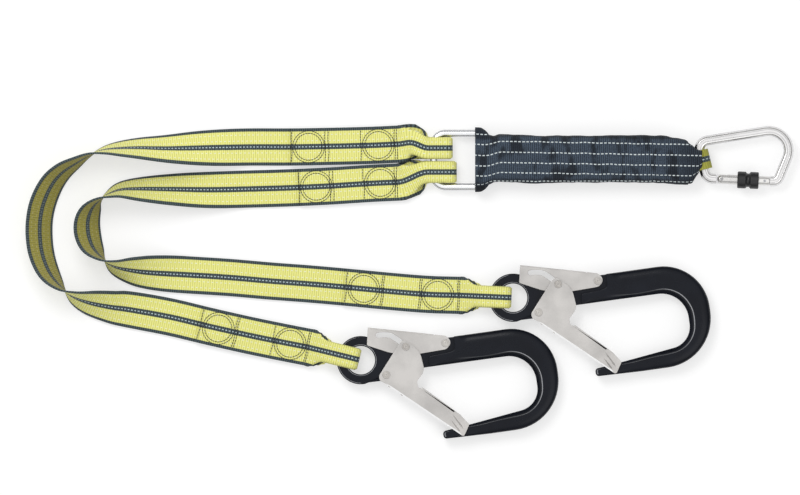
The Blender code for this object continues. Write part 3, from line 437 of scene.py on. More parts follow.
def makeMetal(name, base, shadow, low, high, metallic, grain=900.0, bump=0.00004, paintedShading=None, **more):
    # The optional colour is painted light, shown where a piece's painted-light mask is 1: a painted highlight
    # on the forging and the stamped steel, painted shade on the ring and the karabiner frame
    plan = [
        ("place", "ShaderNodeTexCoord", {}, {}),
        ("marks", "ShaderNodeGroup", {"node_tree": handlingMarks},
         {"Place": ("place", "Object"), "Grain Size": grain, "Low Roughness": low, "High Roughness": high}),
        mixColour("tone", ("marks", "Cloud"), (*shadow, 1), (*base, 1)),
        bumpNode(("marks", "Grain"), 0.5, bump),
    ]
    if paintedShading:
        plan.append(("edge", "ShaderNodeAttribute", {"attribute_name": "paintedLightMask"}, {}))
        plan.append(mixColour("lightPainted", ("edge", "Fac"), ("tone", 2), (*paintedShading, 1)))
    wires = {"Base Color": ("lightPainted" if paintedShading else "tone", 2), "Roughness": ("marks", "Roughness"),
             "Normal": ("bump", 0)}
    return newMaterial(name, base, low, metallic, plan, wires, **more)


legWebbing = makeLegWebbing("legWebbing", 0.041, legColours)
# Painted shade: this loop is the same yellow webbing, given darker yellows because it lies in shadow inside
# the cover's end
karabinerLoopWebbing = makeLegWebbing(
    "karabinerLoopWebbing", 0.0215,
    {**legColours, "yellow": (0.42, 0.42, 0.06, 1), "yellowShade": (0.22, 0.21, 0.03, 1), "edgeWidth": -1.0,
     "markerRows": ()},
)
coverWebbing = makeCoverWebbing(coverColours)
tearWebbing = makePlainWebbing("tearWebbing", (0.62, 0.60, 0.52), (0.30, 0.29, 0.24), 0.0022)
# Where a metal is given a second colour by name, it is painted light: lighter as a painted highlight on the
# forging and the stamped steel, darker as painted shade on the ring and the karabiner
blackForging = makeMetal("blackForging", (0.0060, 0.0078, 0.0135), (0.0035, 0.0046, 0.0085), 0.22, 0.34, 0.0,
                         grain=1400.0, bump=0.00002, paintedShading=(0.62, 0.63, 0.66), **{"Specular IOR Level": 0.19})
# Painted highlight: the colour of the thin bright wires laid along the eye's edges
paintedHighlight = makeMetal("paintedHighlight", (0.60, 0.61, 0.64), (0.30, 0.31, 0.33), 0.30, 0.45, 0.5)
tumbledSteel = makeMetal("tumbledSteel", (0.63, 0.61, 0.59), (0.47, 0.455, 0.44), 0.46, 0.62, 0.55,
                         grain=1300.0, bump=0.00006, paintedShading=(0.95, 0.95, 0.95))
rivetSteel = makeMetal("rivetSteel", (0.60, 0.58, 0.55), (0.48, 0.455, 0.43), 0.24, 0.38, 1.0)
polishedRing = makeMetal("polishedRing", (0.93, 0.94, 0.95), (0.84, 0.85, 0.87), 0.16, 0.26, 1.0,
                         bump=0.000006, paintedShading=(0.36, 0.36, 0.38))
brightAlloy = makeMetal("brightAlloy", (0.95, 0.94, 0.93), (0.86, 0.85, 0.84), 0.24, 0.34, 1.0,
                        bump=0.000006, paintedShading=(0.52, 0.52, 0.54))
gateAlloy = makeMetal("gateAlloy", (0.80, 0.79, 0.77), (0.66, 0.65, 0.64), 0.24, 0.34, 1.0, bump=0.000006)
blackSleeve = makeMetal("blackSleeve", (0.010, 0.010, 0.011), (0.006, 0.006, 0.007), 0.35, 0.5, 0.0)
springWire = makeMetal("springWire", (0.45, 0.45, 0.46), (0.35, 0.35, 0.36), 0.25, 0.4, 1.0)
darkThread = newMaterial("darkThread", (0.012, 0.016, 0.020), 0.7)
print("mixed the materials")

# Lines and meshes


def smoothStep(value):
    value = min(max(value, 0.0), 1.0)
    return value * value * (3 - 2 * value)


def fadeIn(value, start, over):
    return smoothStep((value - start) / over)


def roundStep(value):
    return 1 - math.sqrt(1 - value * value)


def mix(a, b, share):
    return a + (b - a) * share


def wayAt(points, i, closed=False):
    # The way that a line runs at one of its points
    count = len(points)
    after = points[(i + 1) % count] if closed else points[min(i + 1, count - 1)]
    before = points[i - 1] if closed else points[max(i - 1, 0)]
    return (after - before).normalized()


def distances(line):
    # How far each point lies along a line of two coordinates
    reached = [0.0]
    for here, following in zip(line, line[1:]):
        reached.append(reached[-1] + math.hypot(following[0] - here[0], following[1] - here[1]))
    return reached


def joinRings(work, rings, closed=False):
    for ring, following in zip(rings, rings[1:] + rings[:1] if closed else rings[1:]):
        for i in range(len(ring)):
            j = (i + 1) % len(ring)
            work.faces.new((ring[i], ring[j], following[j], following[i]))


def meshOf(work, name):
    bmesh.ops.recalc_face_normals(work, faces=work.faces)
    mesh = bpy.data.meshes.new(name)
    work.to_mesh(mesh)
    work.free()
    return mesh


def smoothPiece(name, mesh, material):
    mesh.materials.append(material)
    mesh.shade_smooth()
    return addPiece(name, mesh)


def evaluatedMesh(piece):
    bpy.context.view_layer.update()
    return bpy.data.meshes.new_from_object(piece.evaluated_get(bpy.context.evaluated_depsgraph_get()))


# Webbing straps: a folded, woven strip that follows stations of centre, cross direction and fold

hem = {"points": 20, "room": 0.0001, "thinEdge": 0.62, "sinkOver": 0.002, "backFade": 0.01}


def smoothRoute(points, step, pieces=16):
    knots = [Vector(p) for p in points]
    knots = [2 * knots[0] - knots[1], *knots, 2 * knots[-1] - knots[-2]]
    fine = []
    for a, b, c, d in zip(knots, knots[1:], knots[2:], knots[3:]):
        for k in range(pieces):
            t = k / pieces
            fine.append(0.5 * (2 * b + (c - a) * t + (2 * a - 5 * b + 4 * c - d) * t**2
                               + (3 * b - a - 3 * c + d) * t**3))
    fine.append(knots[-2])
    reached = [0.0]
    for a, b in zip(fine, fine[1:]):
        reached.append(reached[-1] + (b.xy - a.xy).length)
    count = max(2, round(reached[-1] / step))
    even, at = [], 0
    for k in range(count + 1):
        wanted = reached[-1] * k / count
        while at < len(fine) - 2 and reached[at + 1] < wanted:
            at += 1
        share = (wanted - reached[at]) / (reached[at + 1] - reached[at])
        even.append((wanted, fine[at].lerp(fine[at + 1], min(share, 1.0))))
    return even


def hemSection(half, thickness, folded, h=hem):
    # The strap's outline with folded metres of each edge turned under, towards +b: (a, b, u) points
    count = h["points"]
    radius = thickness / 2 + h["room"]
    hinge = half - folded
    line = []
    for k in range(count + 1):
        share = 2 * k / count - 1
        u = half * math.sin(math.pi / 2 * share) if folded <= 0 else half * share
        past = abs(u) - hinge
        if past <= 0:
            a, b, tilt = abs(u), 0.0, 0.0
        else:
            tilt = min(past / radius, math.pi)
            rest = past - tilt * radius
            a = hinge + radius * math.sin(tilt) + rest * math.cos(tilt)
            b = radius * (1 - math.cos(tilt)) + rest * math.sin(tilt)
        side = 1 if u >= 0 else -1
        line.append((side * a, b, side * math.sin(tilt), math.cos(tilt), u))
    outside, inside = [], []
    for i, (a, b, leanA, leanB, u) in enumerate(line):
        t = thickness / 2 * (h["thinEdge"] if i in (0, count) else 1.0)
        outside.append((a + leanA * t, b - leanB * t, u))
        inside.append((a - leanA * t, b + leanB * t, u))
    return outside, inside[::-1]


def strapMesh(name, stations, material, underFrom=None, underTo=None, h=hem):
    # stations: centre, cross, half width, thickness, folded part of each edge, distance along
    work = bmesh.new()
    uvLayer = work.loops.layers.uv.new("strap")
    under = work.verts.layers.float.new("underside")
    rings = []
    marks = [station[-1] for station in stations]
    centres = [station[0] for station in stations]
    for i, (centre, cross, half, thickness, folded, along) in enumerate(stations):
        way = wayAt(centres, i)
        normal = way.cross(cross).normalized()
        cross = normal.cross(way)
        outside, inside = hemSection(half, thickness, folded)
        lift = -(thickness / 2) * min(folded / h["sinkOver"], 1.0)
        ring = []
        for k, (a, b, u) in enumerate(outside + inside):
            vert = work.verts.new(centre + cross * a + normal * (b + lift))
            # The underside mark is 1 where the strap's underside shows and is painted in shade, fading in and
            # out at both ends
            if underFrom is not None and k < len(outside):
                vert[under] = (fadeIn(along, underFrom, h["backFade"])
                               * smoothStep((underTo - along) / h["backFade"]))
            ring.append((vert, u))
        rings.append(ring)
    count = len(rings[0])
    for ring, following, here, there in zip(rings, rings[1:], marks, marks[1:]):
        for i in range(count):
            j = (i + 1) % count
            face = work.faces.new((ring[i][0], ring[j][0], following[j][0], following[i][0]))
            for loop, spot in zip(face.loops, ((ring[i][1], here), (ring[j][1], here),
                                               (following[j][1], there), (following[i][1], there))):
                loop[uvLayer].uv = spot
    for ring, here, turned in ((rings[0], marks[0], False), (rings[-1], marks[-1], True)):
        for i in range(count // 2 - 1):
            quad = [ring[i], ring[i + 1], ring[count - 2 - i], ring[count - 1 - i]]
            if turned:
                quad.reverse()
            face = work.faces.new([vert for vert, _ in quad])
            for loop, (_, u) in zip(face.loops, quad):
                loop[uvLayer].uv = (u, here)
    return smoothPiece(name, meshOf(work, name), material)


legs = {
    "outer": {
        "route": [
            (-0.2134, 0.0174, 0), (-0.2431, 0.0161, 0), (-0.2871, 0.0150, 0), (-0.3311, 0.0143, 0),
            (-0.3751, 0.0143, 0), (-0.4191, 0.0132, 18), (-0.4631, 0.0121, 42), (-0.4961, 0.0126, 57),
            (-0.5181, 0.0121, 68), (-0.5357, 0.0104, 80), (-0.5522, 0.0055, 95), (-0.5676, -0.0033, 108),
            (-0.5819, -0.0130, 119), (-0.5935, -0.0265, 128),
            (-0.6025, -0.0460, 133), (-0.6066, -0.0650, 134),
            (-0.6070, -0.0850, 134), (-0.6040, -0.1050, 131),
            (-0.5960, -0.1250, 122), (-0.5841, -0.1397, 102),
            (-0.5698, -0.1496, 74), (-0.5522, -0.1562, 51), (-0.5291, -0.1612, 32), (-0.5071, -0.1645, 14),
            (-0.4631, -0.1727, 0), (-0.4191, -0.1832, 0), (-0.3751, -0.1931, 0), (-0.3400, -0.2003, 0),
        ],
        "ringReach": 0.0616, "ringShift": -0.0042, "ringSway": 0.0035, "eye": (-0.2532, -0.2202),
        "heading": -13.8, "ringSewn": 0.118, "hookSewn": 0.126,
        "ringSeams": {"circles": (0.0205, 0.0972), "lines": (0.0, 0.0025, 0.0396, 0.0754, 0.0792, 0.1160)},
        "hookSeams": {"circles": (0.0199, 0.1006),
                      "lines": (-0.0008, 0.0010, 0.0390, 0.0796, 0.0818, 0.1207)},
    },
    "inner": {
        "route": [
            (-0.2134, -0.0244, 0), (-0.2431, -0.0258, 0), (-0.2871, -0.0286, 0), (-0.3311, -0.0306, 0),
            (-0.3751, -0.0319, 0), (-0.4191, -0.0330, 14), (-0.4631, -0.0327, 35), (-0.4961, -0.0325, 52),
            (-0.5159, -0.0333, 65), (-0.5291, -0.0374, 79), (-0.5423, -0.0446, 99), (-0.5505, -0.0545, 120),
            (-0.5544, -0.0682, 132), (-0.5533, -0.0836, 133), (-0.5478, -0.0979, 121), (-0.5368, -0.1095, 95),
            (-0.5236, -0.1166, 68), (-0.5071, -0.1205, 47), (-0.4851, -0.1235, 26), (-0.4411, -0.1265, 0),
            (-0.3971, -0.1293, 0), (-0.3531, -0.1331, 0), (-0.3091, -0.1364, 0), (-0.2651, -0.1403, 0),
            (-0.2211, -0.1445, 0), (-0.1800, -0.1478, 0),
        ],
        "ringReach": 0.0660, "ringShift": 0.0112, "ringSway": 0.0, "eye": (-0.0857, -0.1515),
        "heading": -2.5, "ringSewn": 0.110, "hookSewn": 0.127,
        "ringSeams": {"circles": (0.0184, 0.0890), "lines": (0.0, 0.0025, 0.0368, 0.0701, 0.0737, 0.1078)},
        "hookSeams": {"circles": (0.0229, 0.1045),
                      "lines": (-0.0008, 0.0010, 0.0411, 0.0431, 0.0830, 0.0850, 0.1240)},
    },
}

# Each fold of an edge is where it starts, where it is full and how round it comes in
legStrap = {
    "halfWidth": 0.0205, "thickness": 0.0022, "foldedThickness": 0.0017, "foldedWidth": 0.0245,
    "gap": 0.0003, "cadThickness": 0.0026, "cadFolded": 0.0040, "neck": 0.022, "step": 0.0045,
    "ringFolds": ((0.001, 0.024, 0.0), (0.012, 0.036, 0.0)),
    "hookFolds": ((0.001, 0.020, 0.0), (-0.004, 0.0240, 0.5)),
    "loopStep": 0.0028, "loopStepsLeast": 8, "bendPieces": 16, "straightBefore": 0.002,
    "ringBarX": -0.1731, "ringRod": 0.004, "ringHeight": 0.0089,
    "eyeOuter": 0.0266, "hookMiddle": 0.0095, "shankHalf": 0.005, "loopStart": 0.060, "loopEnd": 0.0014,
    # How far into the free run the underside's painted shade begins, and how far before its end it stops
    "backFrom": 0.10, "backTo": 0.13,
}


def endLoop(root, heading, hand, low, high, startLow, startHigh, reach, rise, shift, sway, folds, s):
    # The folded loop at one end, as its upper run, its bend and its lower run, all from the root outwards
    ahead = Vector((math.cos(heading), math.sin(heading), 0))
    left = Vector((-ahead.y, ahead.x, 0))
    radius = (high - low) / 2
    bend = reach - s["cadFolded"] / 2 - radius
    fullFold = s["halfWidth"] - (s["foldedWidth"] / 2 - s["foldedThickness"] - hem["room"])

    def spot(distance):
        share = min(distance / rise, 1)
        aside = shift * smoothStep(share) + sway * math.sin(math.pi * share) ** 2
        return Vector((*root, 0)) + ahead * distance + left * aside

    upper, around, lower = [], [], []
    steps = max(s["loopStepsLeast"], round(bend / s["loopStep"]))
    step = bend / steps
    for k in range(1, steps + 1):
        distance = step * k
        way = (spot(distance + step) - spot(distance - step)).normalized()
        cross = Vector((-way.y, way.x, 0)) * hand
        narrowed = smoothStep(distance / s["neck"])
        thin = mix(s["thickness"], s["foldedThickness"], narrowed)
        up = mix(startHigh, high, smoothStep(distance / rise))
        down = mix(startLow, low, narrowed)
        for run, height, (first, last, rounded) in ((upper, up, folds[0]), (lower, down, folds[1])):
            share = min(max((distance - first) / (last - first), 0.0), 1.0)
            folded = fullFold * mix(smoothStep(share), roundStep(share), rounded)
            run.append((spot(distance) + Vector((0, 0, height)), cross, s["halfWidth"], thin, folded))
    for k in range(1, s["bendPieces"]):
        angle = math.pi * k / s["bendPieces"]
        place = spot(bend) + ahead * radius * math.sin(angle)
        place.z = low + radius + radius * math.cos(angle)
        around.append((place, left * hand, s["halfWidth"], s["foldedThickness"], fullFold))
    return upper, around, lower


def makeLeg(side, leg, s):
    heading = math.radians(leg["heading"])
    eye = Vector(leg["eye"])
    hookRoot = eye - s["loopStart"] * Vector((math.cos(heading), math.sin(heading)))
    run = smoothRoute(leg["route"] + [(hookRoot.x, hookRoot.y, 0)], s["step"])
    total = run[-1][0]
    level = [point.xy for _, point in run]
    flat = s["cadThickness"] / 2 + s["gap"]
    tailHeight = flat + s["cadThickness"] + s["gap"]
    main, firstTail, lastTail = [], [], []
    for i, (distance, point) in enumerate(run):
        ahead = wayAt(level, i)
        left = Vector((-ahead.y, ahead.x, 0))
        roll = math.radians(point.z)
        lift = s["halfWidth"] * abs(math.sin(roll)) + flat * abs(math.cos(roll))
        cross = left * math.cos(roll) + Vector((0, 0, 1)) * math.sin(roll)
        main.append((Vector((point.x, point.y, lift)), cross, s["halfWidth"], s["thickness"], 0.0))
        over = (Vector((point.x, point.y, tailHeight)), left, s["halfWidth"], s["thickness"], 0.0)
        if distance <= leg["ringSewn"]:
            firstTail.append(over)
        if total - distance <= leg["hookSewn"]:
            lastTail.append(over)
    root = level[0]
    low = s["ringHeight"] - s["ringRod"] - s["gap"] - s["cadFolded"] / 2
    high = s["ringHeight"] + s["ringRod"] + s["gap"] + s["cadFolded"] / 2
    ringLoop = endLoop(root, 0.0, -1, low, high, flat, tailHeight, leg["ringReach"],
                       s["ringBarX"] - root.x - s["ringRod"] - s["straightBefore"], leg["ringShift"],
                       leg["ringSway"], s["ringFolds"], s)
    reach = s["shankHalf"] + s["gap"] + s["cadFolded"] / 2
    hookLoop = endLoop(hookRoot, heading, 1, s["hookMiddle"] - reach, s["hookMiddle"] + reach, flat,
                       tailHeight, s["loopStart"] - s["loopEnd"],
                       s["loopStart"] - s["eyeOuter"] - s["straightBefore"], 0.0, 0.0, s["hookFolds"], s)
    line = ringLoop[1][len(ringLoop[1]) // 2:] + ringLoop[2][::-1] + main + hookLoop[2]
    line += hookLoop[1][::-1][: len(hookLoop[1]) // 2 + 1]
    strip = firstTail[::-1] + ringLoop[0] + ringLoop[1] + ringLoop[2][::-1] + main
    strip += hookLoop[2] + hookLoop[1][::-1] + hookLoop[0][::-1] + lastTail[::-1]
    stations, along, marks = [], 0.0, {}
    for i, station in enumerate(strip):
        if i:
            along += (station[0] - strip[i - 1][0]).length
        stations.append((*station, along))
        if station is main[0]:
            marks["free"] = along
        if station is main[-1]:
            marks["sewn"] = along
    piece = strapMesh(f"{side}LegStrap", stations, legWebbing, marks["free"] + s["backFrom"],
                      marks["sewn"] - s["backTo"])
    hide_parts(f"{side}_leg_webbing")
    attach(piece, heldStill)
    return firstTail, lastTail[::-1]


tails = {side: makeLeg(side, leg, legStrap) for side, leg in legs.items()}

# Seams: double circles and cross lines of dark thread, sewn through each tail and the run below it

# A bead's tip, flank and crown are its thickness and its rise, as shares of the thread
seam = {
    "outerRadius": 0.0175, "innerRadius": 0.0148, "stitch": 0.0027, "gap": 0.0003, "thread": 0.00038,
    "lineHalf": 0.0168, "sink": 0.00012, "waver": 0.0004, "waverTurn": 7.0, "past": 0.0001, "sides": 6,
    "tip": (0.45, -0.4), "flank": (0.95, 0.6), "crown": (1.1, 0.8), "flankShare": 0.25,
}


def tailSpot(tail, along, across):
    # A point on the tail's upper side, along it from its loop's root, with the way it runs
    reached = 0.0
    for here, following in zip(tail, tail[1:]):
        span = (following[0] - here[0]).length
        if reached + span >= along or following is tail[-1]:
            break
        reached += span
    way = (following[0] - here[0]).normalized()
    left = Vector((-way.y, way.x, 0))
    return here[0] + way * (along - reached) + left * across + Vector((0, 0, legStrap["thickness"] / 2))


def seamPoints(tail, seams, s):
    # The middle and both ends of every stitch
    made = []
    pitch = s["stitch"] + s["gap"]
    for centre in seams["circles"]:
        for radius in (s["outerRadius"], s["innerRadius"]):
            count = round(2 * math.pi * radius / pitch)
            half = s["stitch"] / 2 / radius
            for k in range(count):
                turn = 2 * math.pi * k / count
                made.append([(centre + radius * math.cos(a), radius * math.sin(a))
                             for a in (turn - half, turn, turn + half)])
    count = round(2 * s["lineHalf"] / pitch)
    half = s["stitch"] / 2
    for line in seams["lines"]:
        for k in range(count):
            y = -s["lineHalf"] + pitch * (k + 0.5) * 2 * s["lineHalf"] / (pitch * count)
            waver = s["waver"] * math.sin(s["waverTurn"] * k)
            made.append([(line + waver, y + d) for d in (-half, 0, half)])
    return [[tailSpot(tail, along, across) for along, across in stitch] for stitch in made]


def makeSeams(name, tail, seams, s):
    # Each stitch is a small bowed bead of thread, its ends down in the webbing
    work = bmesh.new()
    for first, middle, last in seamPoints(tail, seams, s):
        way = (last - first).normalized()
        level = Vector((-way.y, way.x, 0))
        rings = []
        for point, (size, rise) in (
            (first - way * s["past"], s["tip"]), (first.lerp(middle, s["flankShare"]), s["flank"]),
            (middle, s["crown"]),
            (last.lerp(middle, s["flankShare"]), s["flank"]), (last + way * s["past"], s["tip"]),
        ):
            ring = []
            for k in range(s["sides"]):
                turn = 2 * math.pi * k / s["sides"]
                reach = s["thread"] * size
                spread = level * reach * math.cos(turn) + Vector((0, 0, 1)) * reach * math.sin(turn)
                ring.append(work.verts.new(point + spread + Vector((0, 0, s["thread"] * rise - s["sink"]))))
            rings.append(ring)
        joinRings(work, rings)
        work.faces.new(rings[0][::-1])
        work.faces.new(rings[-1])
    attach(smoothPiece(name, meshOf(work, name), darkThread), heldStill)


for side, leg in legs.items():
    firstTail, lastTail = tails[side]
    makeSeams(f"{side}RingSeams", firstTail, leg["ringSeams"], seam)
    makeSeams(f"{side}HookSeams", lastTail, leg["hookSeams"], seam)
print("sewed the tails")

# The karabiner's gate, its two pins and every spring keep the solid model's own shape

metalNodes = {
    "karabiner_gate": gateAlloy,
    **{node: springWire for node in ("karabiner_gate_spring", "karabiner_gate_pusher", "karabiner_latch_pin",
                                     "karabiner_hinge_pin", *(f"{side}_hook_gate_spring" for side in legs))},
}
for node, material in metalNodes.items():
    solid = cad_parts[node]
    solid.data.materials.clear()
    solid.data.materials.append(material)
print("finished the metal pieces")

# Hooks: forged body, gate and lock lever, each drawn in the hook's own frame round its eye

# A painted highlight line is its distance from the edge, its first and last degree and its wire's radius: a
# thin bright wire on each face of the eye
hookForm = {
    "turn": 8.0, "middle": 0.0095, "half": 0.0095, "shankHalf": 0.005, "eyeOuter": 0.0266, "eyeHole": 0.0155,
    "eyeArc": (30.0, 272.0), "holeRoom": 0.0001, "shankEdge": 0.0011,
    "noseHalf": 0.0066, "noseFrom": 0.116, "noseTo": 0.162, "noseBelow": -0.070,
    "gatePivot": (0.0256, -0.0199), "linkPin": (0.0511, 0.0079), "leverPivot": (0.0947, 0.0056),
    "springSeat": 0.0061, "leverHole": 0.0026, "dipRadius": 0.0350, "dipTurns": (47, 53, 60, 67, 74),
    "shank": [
        (0.0180, -0.0262, 0.004), (0.0256, -0.0276, 0.006),
        (0.0340, -0.0240, 0.005), (0.0390, -0.0178, 0.004),
        (0.0790, -0.0178, 0.0), (0.0790, -0.0085, 0.002), (0.1080, -0.0070, 0.003), (0.1080, 0.0112, 0.001),
        (0.0640, 0.0117, 0.005), (0.0560, -0.0010, 0.004),
    ],
    "shankEnd": (0.0250, 0.0124, 0.0),
    "highlightWires": {"eyeOuter": (-0.0014, 95, 262, 0.00024), "eyeHole": (0.0015, 0, 360, 0.00026)},
    "highlightSink": 0.00018,
    "gateAngle": 28.0, "leverAngle": 5.5, "slotSpare": 21.0, "slotBefore": 0.04, "slotRadius": 0.0028,
    "pivotRadius": 0.0024, "linkRadius": 0.0022,
    "rivetHead": 0.0042, "headHeight": 0.0007, "headLift": 0.0001,
    "headSteps": ((1, 0.7), (0.93, 1), (0.74, 1), (0.68, 0.45), (0.56, 0.45), (0.50, 1.1), (0.20, 1.1),
                  (0.12, 0.7), (0, 0.7)),
}
# Edges are rings of inset and drop; sizes scale them along the outline
bow = {
    "corners": [
        (0.0735, -0.0178, 0.0), (0.1882, -0.0182, 0.030), (0.1882, -0.0765, 0.024), (0.1000, -0.0878, 0.010),
        (0.0784, -0.0900, 0.0036), (0.0784, -0.0985, 0.0036), (0.1300, -0.0998, 0.020),
        (0.2128, -0.0998, 0.0545), (0.2128, 0.0117, 0.051), (0.1045, 0.0117, 0.001),
        (0.1045, -0.0035, 0.005), (0.0960, -0.0050, 0.002), (0.0745, -0.0062, 0.003),
    ],
    "roundEdge": [(0.0, 0.0056), (0.0005, 0.0040), (0.0018, 0.0025), (0.0039, 0.0013), (0.0066, 0.0005),
                  (0.0095, 0.0001)],
    "scoopEdge": [(0.0, 0.0052), (0.0009, 0.0047), (0.0032, 0.0024), (0.0045, 0.0007), (0.0049, 0.0001),
                  (0.0056, 0.0)],
    "lastInset": 0.0009, "reach": 0.0056, "step": 0.0035, "widest": 0.03, "leastRoom": 0.0012,
    "seats": ((0.1055, -0.0075), (0.0745, -0.0300)), "seatSize": 0.1, "evenOver": 0.006,
    "opening": (-0.0895, -0.0150), "openingEnd": 0.1900,
    "broadFade": (0.130, 0.05), "broadSizes": (0.72, 1.22),
    "tipBelow": -0.075, "tipFade": (0.092, 0.03), "tipSizes": (0.19, 0.30),
    "scoopAbove": -0.05, "scoopFade": (0.100, 0.035),
    # Painted highlight: one ring of the scoop's bevel carries a bright line, fading along and across, and the
    # nose tip carries one too
    "highlightRing": 4, "highlightAlong": (0.150, 0.03), "highlightAcross": (-0.082, 0.02), "scoopHighlight": (0.16, 0.85),
    "tipCorner": (0.0800, -0.085), "tipHighlight": 0.5,
}


def handOf(outline):
    area = sum(a.x * b.y - b.x * a.y for a, b in zip(outline, outline[1:] + outline[:1]))
    return 1 if area > 0 else -1


def evenly(outline, step):
    # A closed outline with points about a step apart at most
    line = []
    for a, b in zip(outline, outline[1:] + outline[:1]):
        pieces = max(1, round((b - a).length / step))
        line += [a.lerp(b, k / pieces) for k in range(pieces)]
    return line


def filleted(corners, step):
    # A closed outline through corners of x, y and radius, with true arcs
    line = []
    for i, (x, y, radius) in enumerate(corners):
        here = Vector((x, y))
        back = (Vector(corners[i - 1][:2]) - here).normalized()
        ahead = (Vector(corners[(i + 1) % len(corners)][:2]) - here).normalized()
        opening = back.angle(ahead)
        if radius <= 0 or opening > math.pi - 0.02:
            line.append(here)
            continue
        centre = here + (back + ahead).normalized() * radius / math.sin(opening / 2)
        start = here + back * radius / math.tan(opening / 2) - centre
        sweep = math.pi - opening
        if back.x * ahead.y - back.y * ahead.x > 0:
            sweep = -sweep
        pieces = max(3, math.ceil(abs(sweep) / step))
        line += [centre + Matrix.Rotation(sweep * k / pieces, 2) @ start for k in range(pieces + 1)]
    return line


def roomAcross(line, i, into, shape):
    # How far it is across the forging from one point of its outline
    nearest = shape["widest"]
    for a, b in zip(line, line[1:] + line[:1]):
        span, gap = b - a, a - line[i]
        cross = into.x * span.y - into.y * span.x
        if abs(cross) < 1e-12:
            continue
        reach = (gap.x * span.y - gap.y * span.x) / cross
        share = (gap.x * into.y - gap.y * into.x) / cross
        if reach > shape["leastRoom"] and 0 <= share <= 1:
            nearest = min(nearest, reach)
    return nearest


def bowMesh(form, shape):
    # The forged bow as rings that step in from its outline: round outside, scooped round the opening
    line = evenly(filleted(shape["corners"], math.radians(6)), shape["step"])
    hand = handOf(line)
    low, high = shape["opening"]
    tipX, tipY = shape["tipCorner"]
    inward, size = [], []
    for i, here in enumerate(line):
        way = wayAt(line, i, True)
        inward.append(Vector((-way.y, way.x)) * hand)
        wide = roomAcross(line, i, inward[i], shape)
        seated = any(here.x < x and here.y > y for x, y in shape["seats"])
        broad, fit = 1.0, shape["tipSizes"][1]
        if low < here.y < high:
            broad = mix(*shape["broadSizes"], fadeIn(here.x, *shape["broadFade"]))
        if here.y < shape["tipBelow"]:
            fit = mix(*shape["tipSizes"], fadeIn(here.x, *shape["tipFade"]))
        size.append(shape["seatSize"] if seated else min(broad, fit * wide / shape["reach"]))
    near = [[j for j, there in enumerate(line) if (there - here).length < shape["evenOver"]] for here in line]
    size = [min(size[j] for j in around) for around in near]
    size = [sum(size[j] for j in around) / len(around) for around in near]
    work = bmesh.new()
    wear = work.verts.layers.float.new("paintedLightMask")
    rings = []
    innermost = len(shape["roundEdge"])
    levels = [(1, k) for k in range(innermost, -1, -1)] + [(-1, k) for k in range(innermost + 1)]
    for side, k in levels:
        roundIn, roundDown = shape["roundEdge"][min(k, innermost - 1)]
        scoopIn, scoopDown = shape["scoopEdge"][min(k, innermost - 1)]
        ring = []
        for here, into, scale in zip(line, inward, size):
            inside = low < here.y < high and here.x < shape["openingEnd"]
            scoop = float(inside)
            if inside and here.y > shape["scoopAbove"]:
                scoop = fadeIn(here.x, *shape["scoopFade"])
            step = mix(roundIn, scoopIn, scoop) + (shape["lastInset"] if k == innermost else 0.0)
            down = mix(roundDown, scoopDown, scoop)
            half = form["half"]
            if here.y < form["noseBelow"]:
                share = (here.x - form["noseFrom"]) / (form["noseTo"] - form["noseFrom"])
                half = mix(form["noseHalf"], form["half"], min(max(share, 0), 1))
            spot = here + into * step * scale
            vert = work.verts.new((spot.x, spot.y, side * (half - down * scale)))
            # Painted highlight: a bright line along the scoop's bevel, strongest round the right of the bend,
            # and a short one at the nose tip
            if k == shape["highlightRing"]:
                lightPainted = fadeIn(here.x, *shape["highlightAlong"]) * fadeIn(here.y, *shape["highlightAcross"])
                vert[wear] = scoop * mix(*shape["scoopHighlight"], lightPainted)
                if here.x < tipX and here.y < tipY:
                    vert[wear] = max(vert[wear], shape["tipHighlight"])
            ring.append(vert)
        rings.append(ring)
    joinRings(work, rings)
    work.faces.new(rings[0])
    work.faces.new(rings[-1][::-1])
    return meshOf(work, "bow")


def plateMesh(outlines, low, high, edge):
    # A flat plate between two heights, its first outline filled and the others cut through it
    data = bpy.data.curves.new("plate", "CURVE")
    data.dimensions = "2D"
    data.fill_mode = "BOTH"
    data.extrude = (high - low) / 2 - edge
    data.bevel_depth = edge
    data.bevel_resolution = 2
    data.offset = -edge
    for outline in outlines:
        spline = data.splines.new("POLY")
        spline.points.add(len(outline) - 1)
        for point, spot in zip(spline.points, outline):
            point.co = (*spot, 0, 1)
        spline.use_cyclic_u = True
    holder = addPiece("plate", data)
    mesh = evaluatedMesh(holder)
    bpy.data.objects.remove(holder)
    mesh.transform(Matrix.Translation((0, 0, (low + high) / 2)))
    return mesh


def circle(centre, radius, first=0.0, last=360.0, step=9.0):
    count = max(3, round(abs(last - first) / step))
    whole = abs(last - first) >= 360
    turns = [math.radians(mix(first, last, k / count)) for k in range(count + (0 if whole else 1))]
    return [Vector(centre) + radius * Vector((math.cos(t), math.sin(t))) for t in turns]


def latheMesh(profile, centre, sides=32, closed=False):
    # A turned piece from a profile of radius and height, bottom to top
    work = bmesh.new()
    rings = []
    for radius, height in profile:
        if radius <= 0:
            rings.append([work.verts.new((*centre, height))])
            continue
        ring = []
        for k in range(sides):
            turn = 2 * math.pi * k / sides
            spot = (centre[0] + radius * math.cos(turn), centre[1] + radius * math.sin(turn), height)
            ring.append(work.verts.new(spot))
        rings.append(ring)
    for ring, following in zip(rings, rings[1:] + rings[:1] if closed else rings[1:]):
        for k in range(sides):
            j = (k + 1) % sides
            corners = [ring[k % len(ring)], ring[j % len(ring)], following[j % len(following)],
                       following[k % len(following)]]
            work.faces.new([c for i, c in enumerate(corners) if c not in corners[:i]])
    return meshOf(work, "lathe")


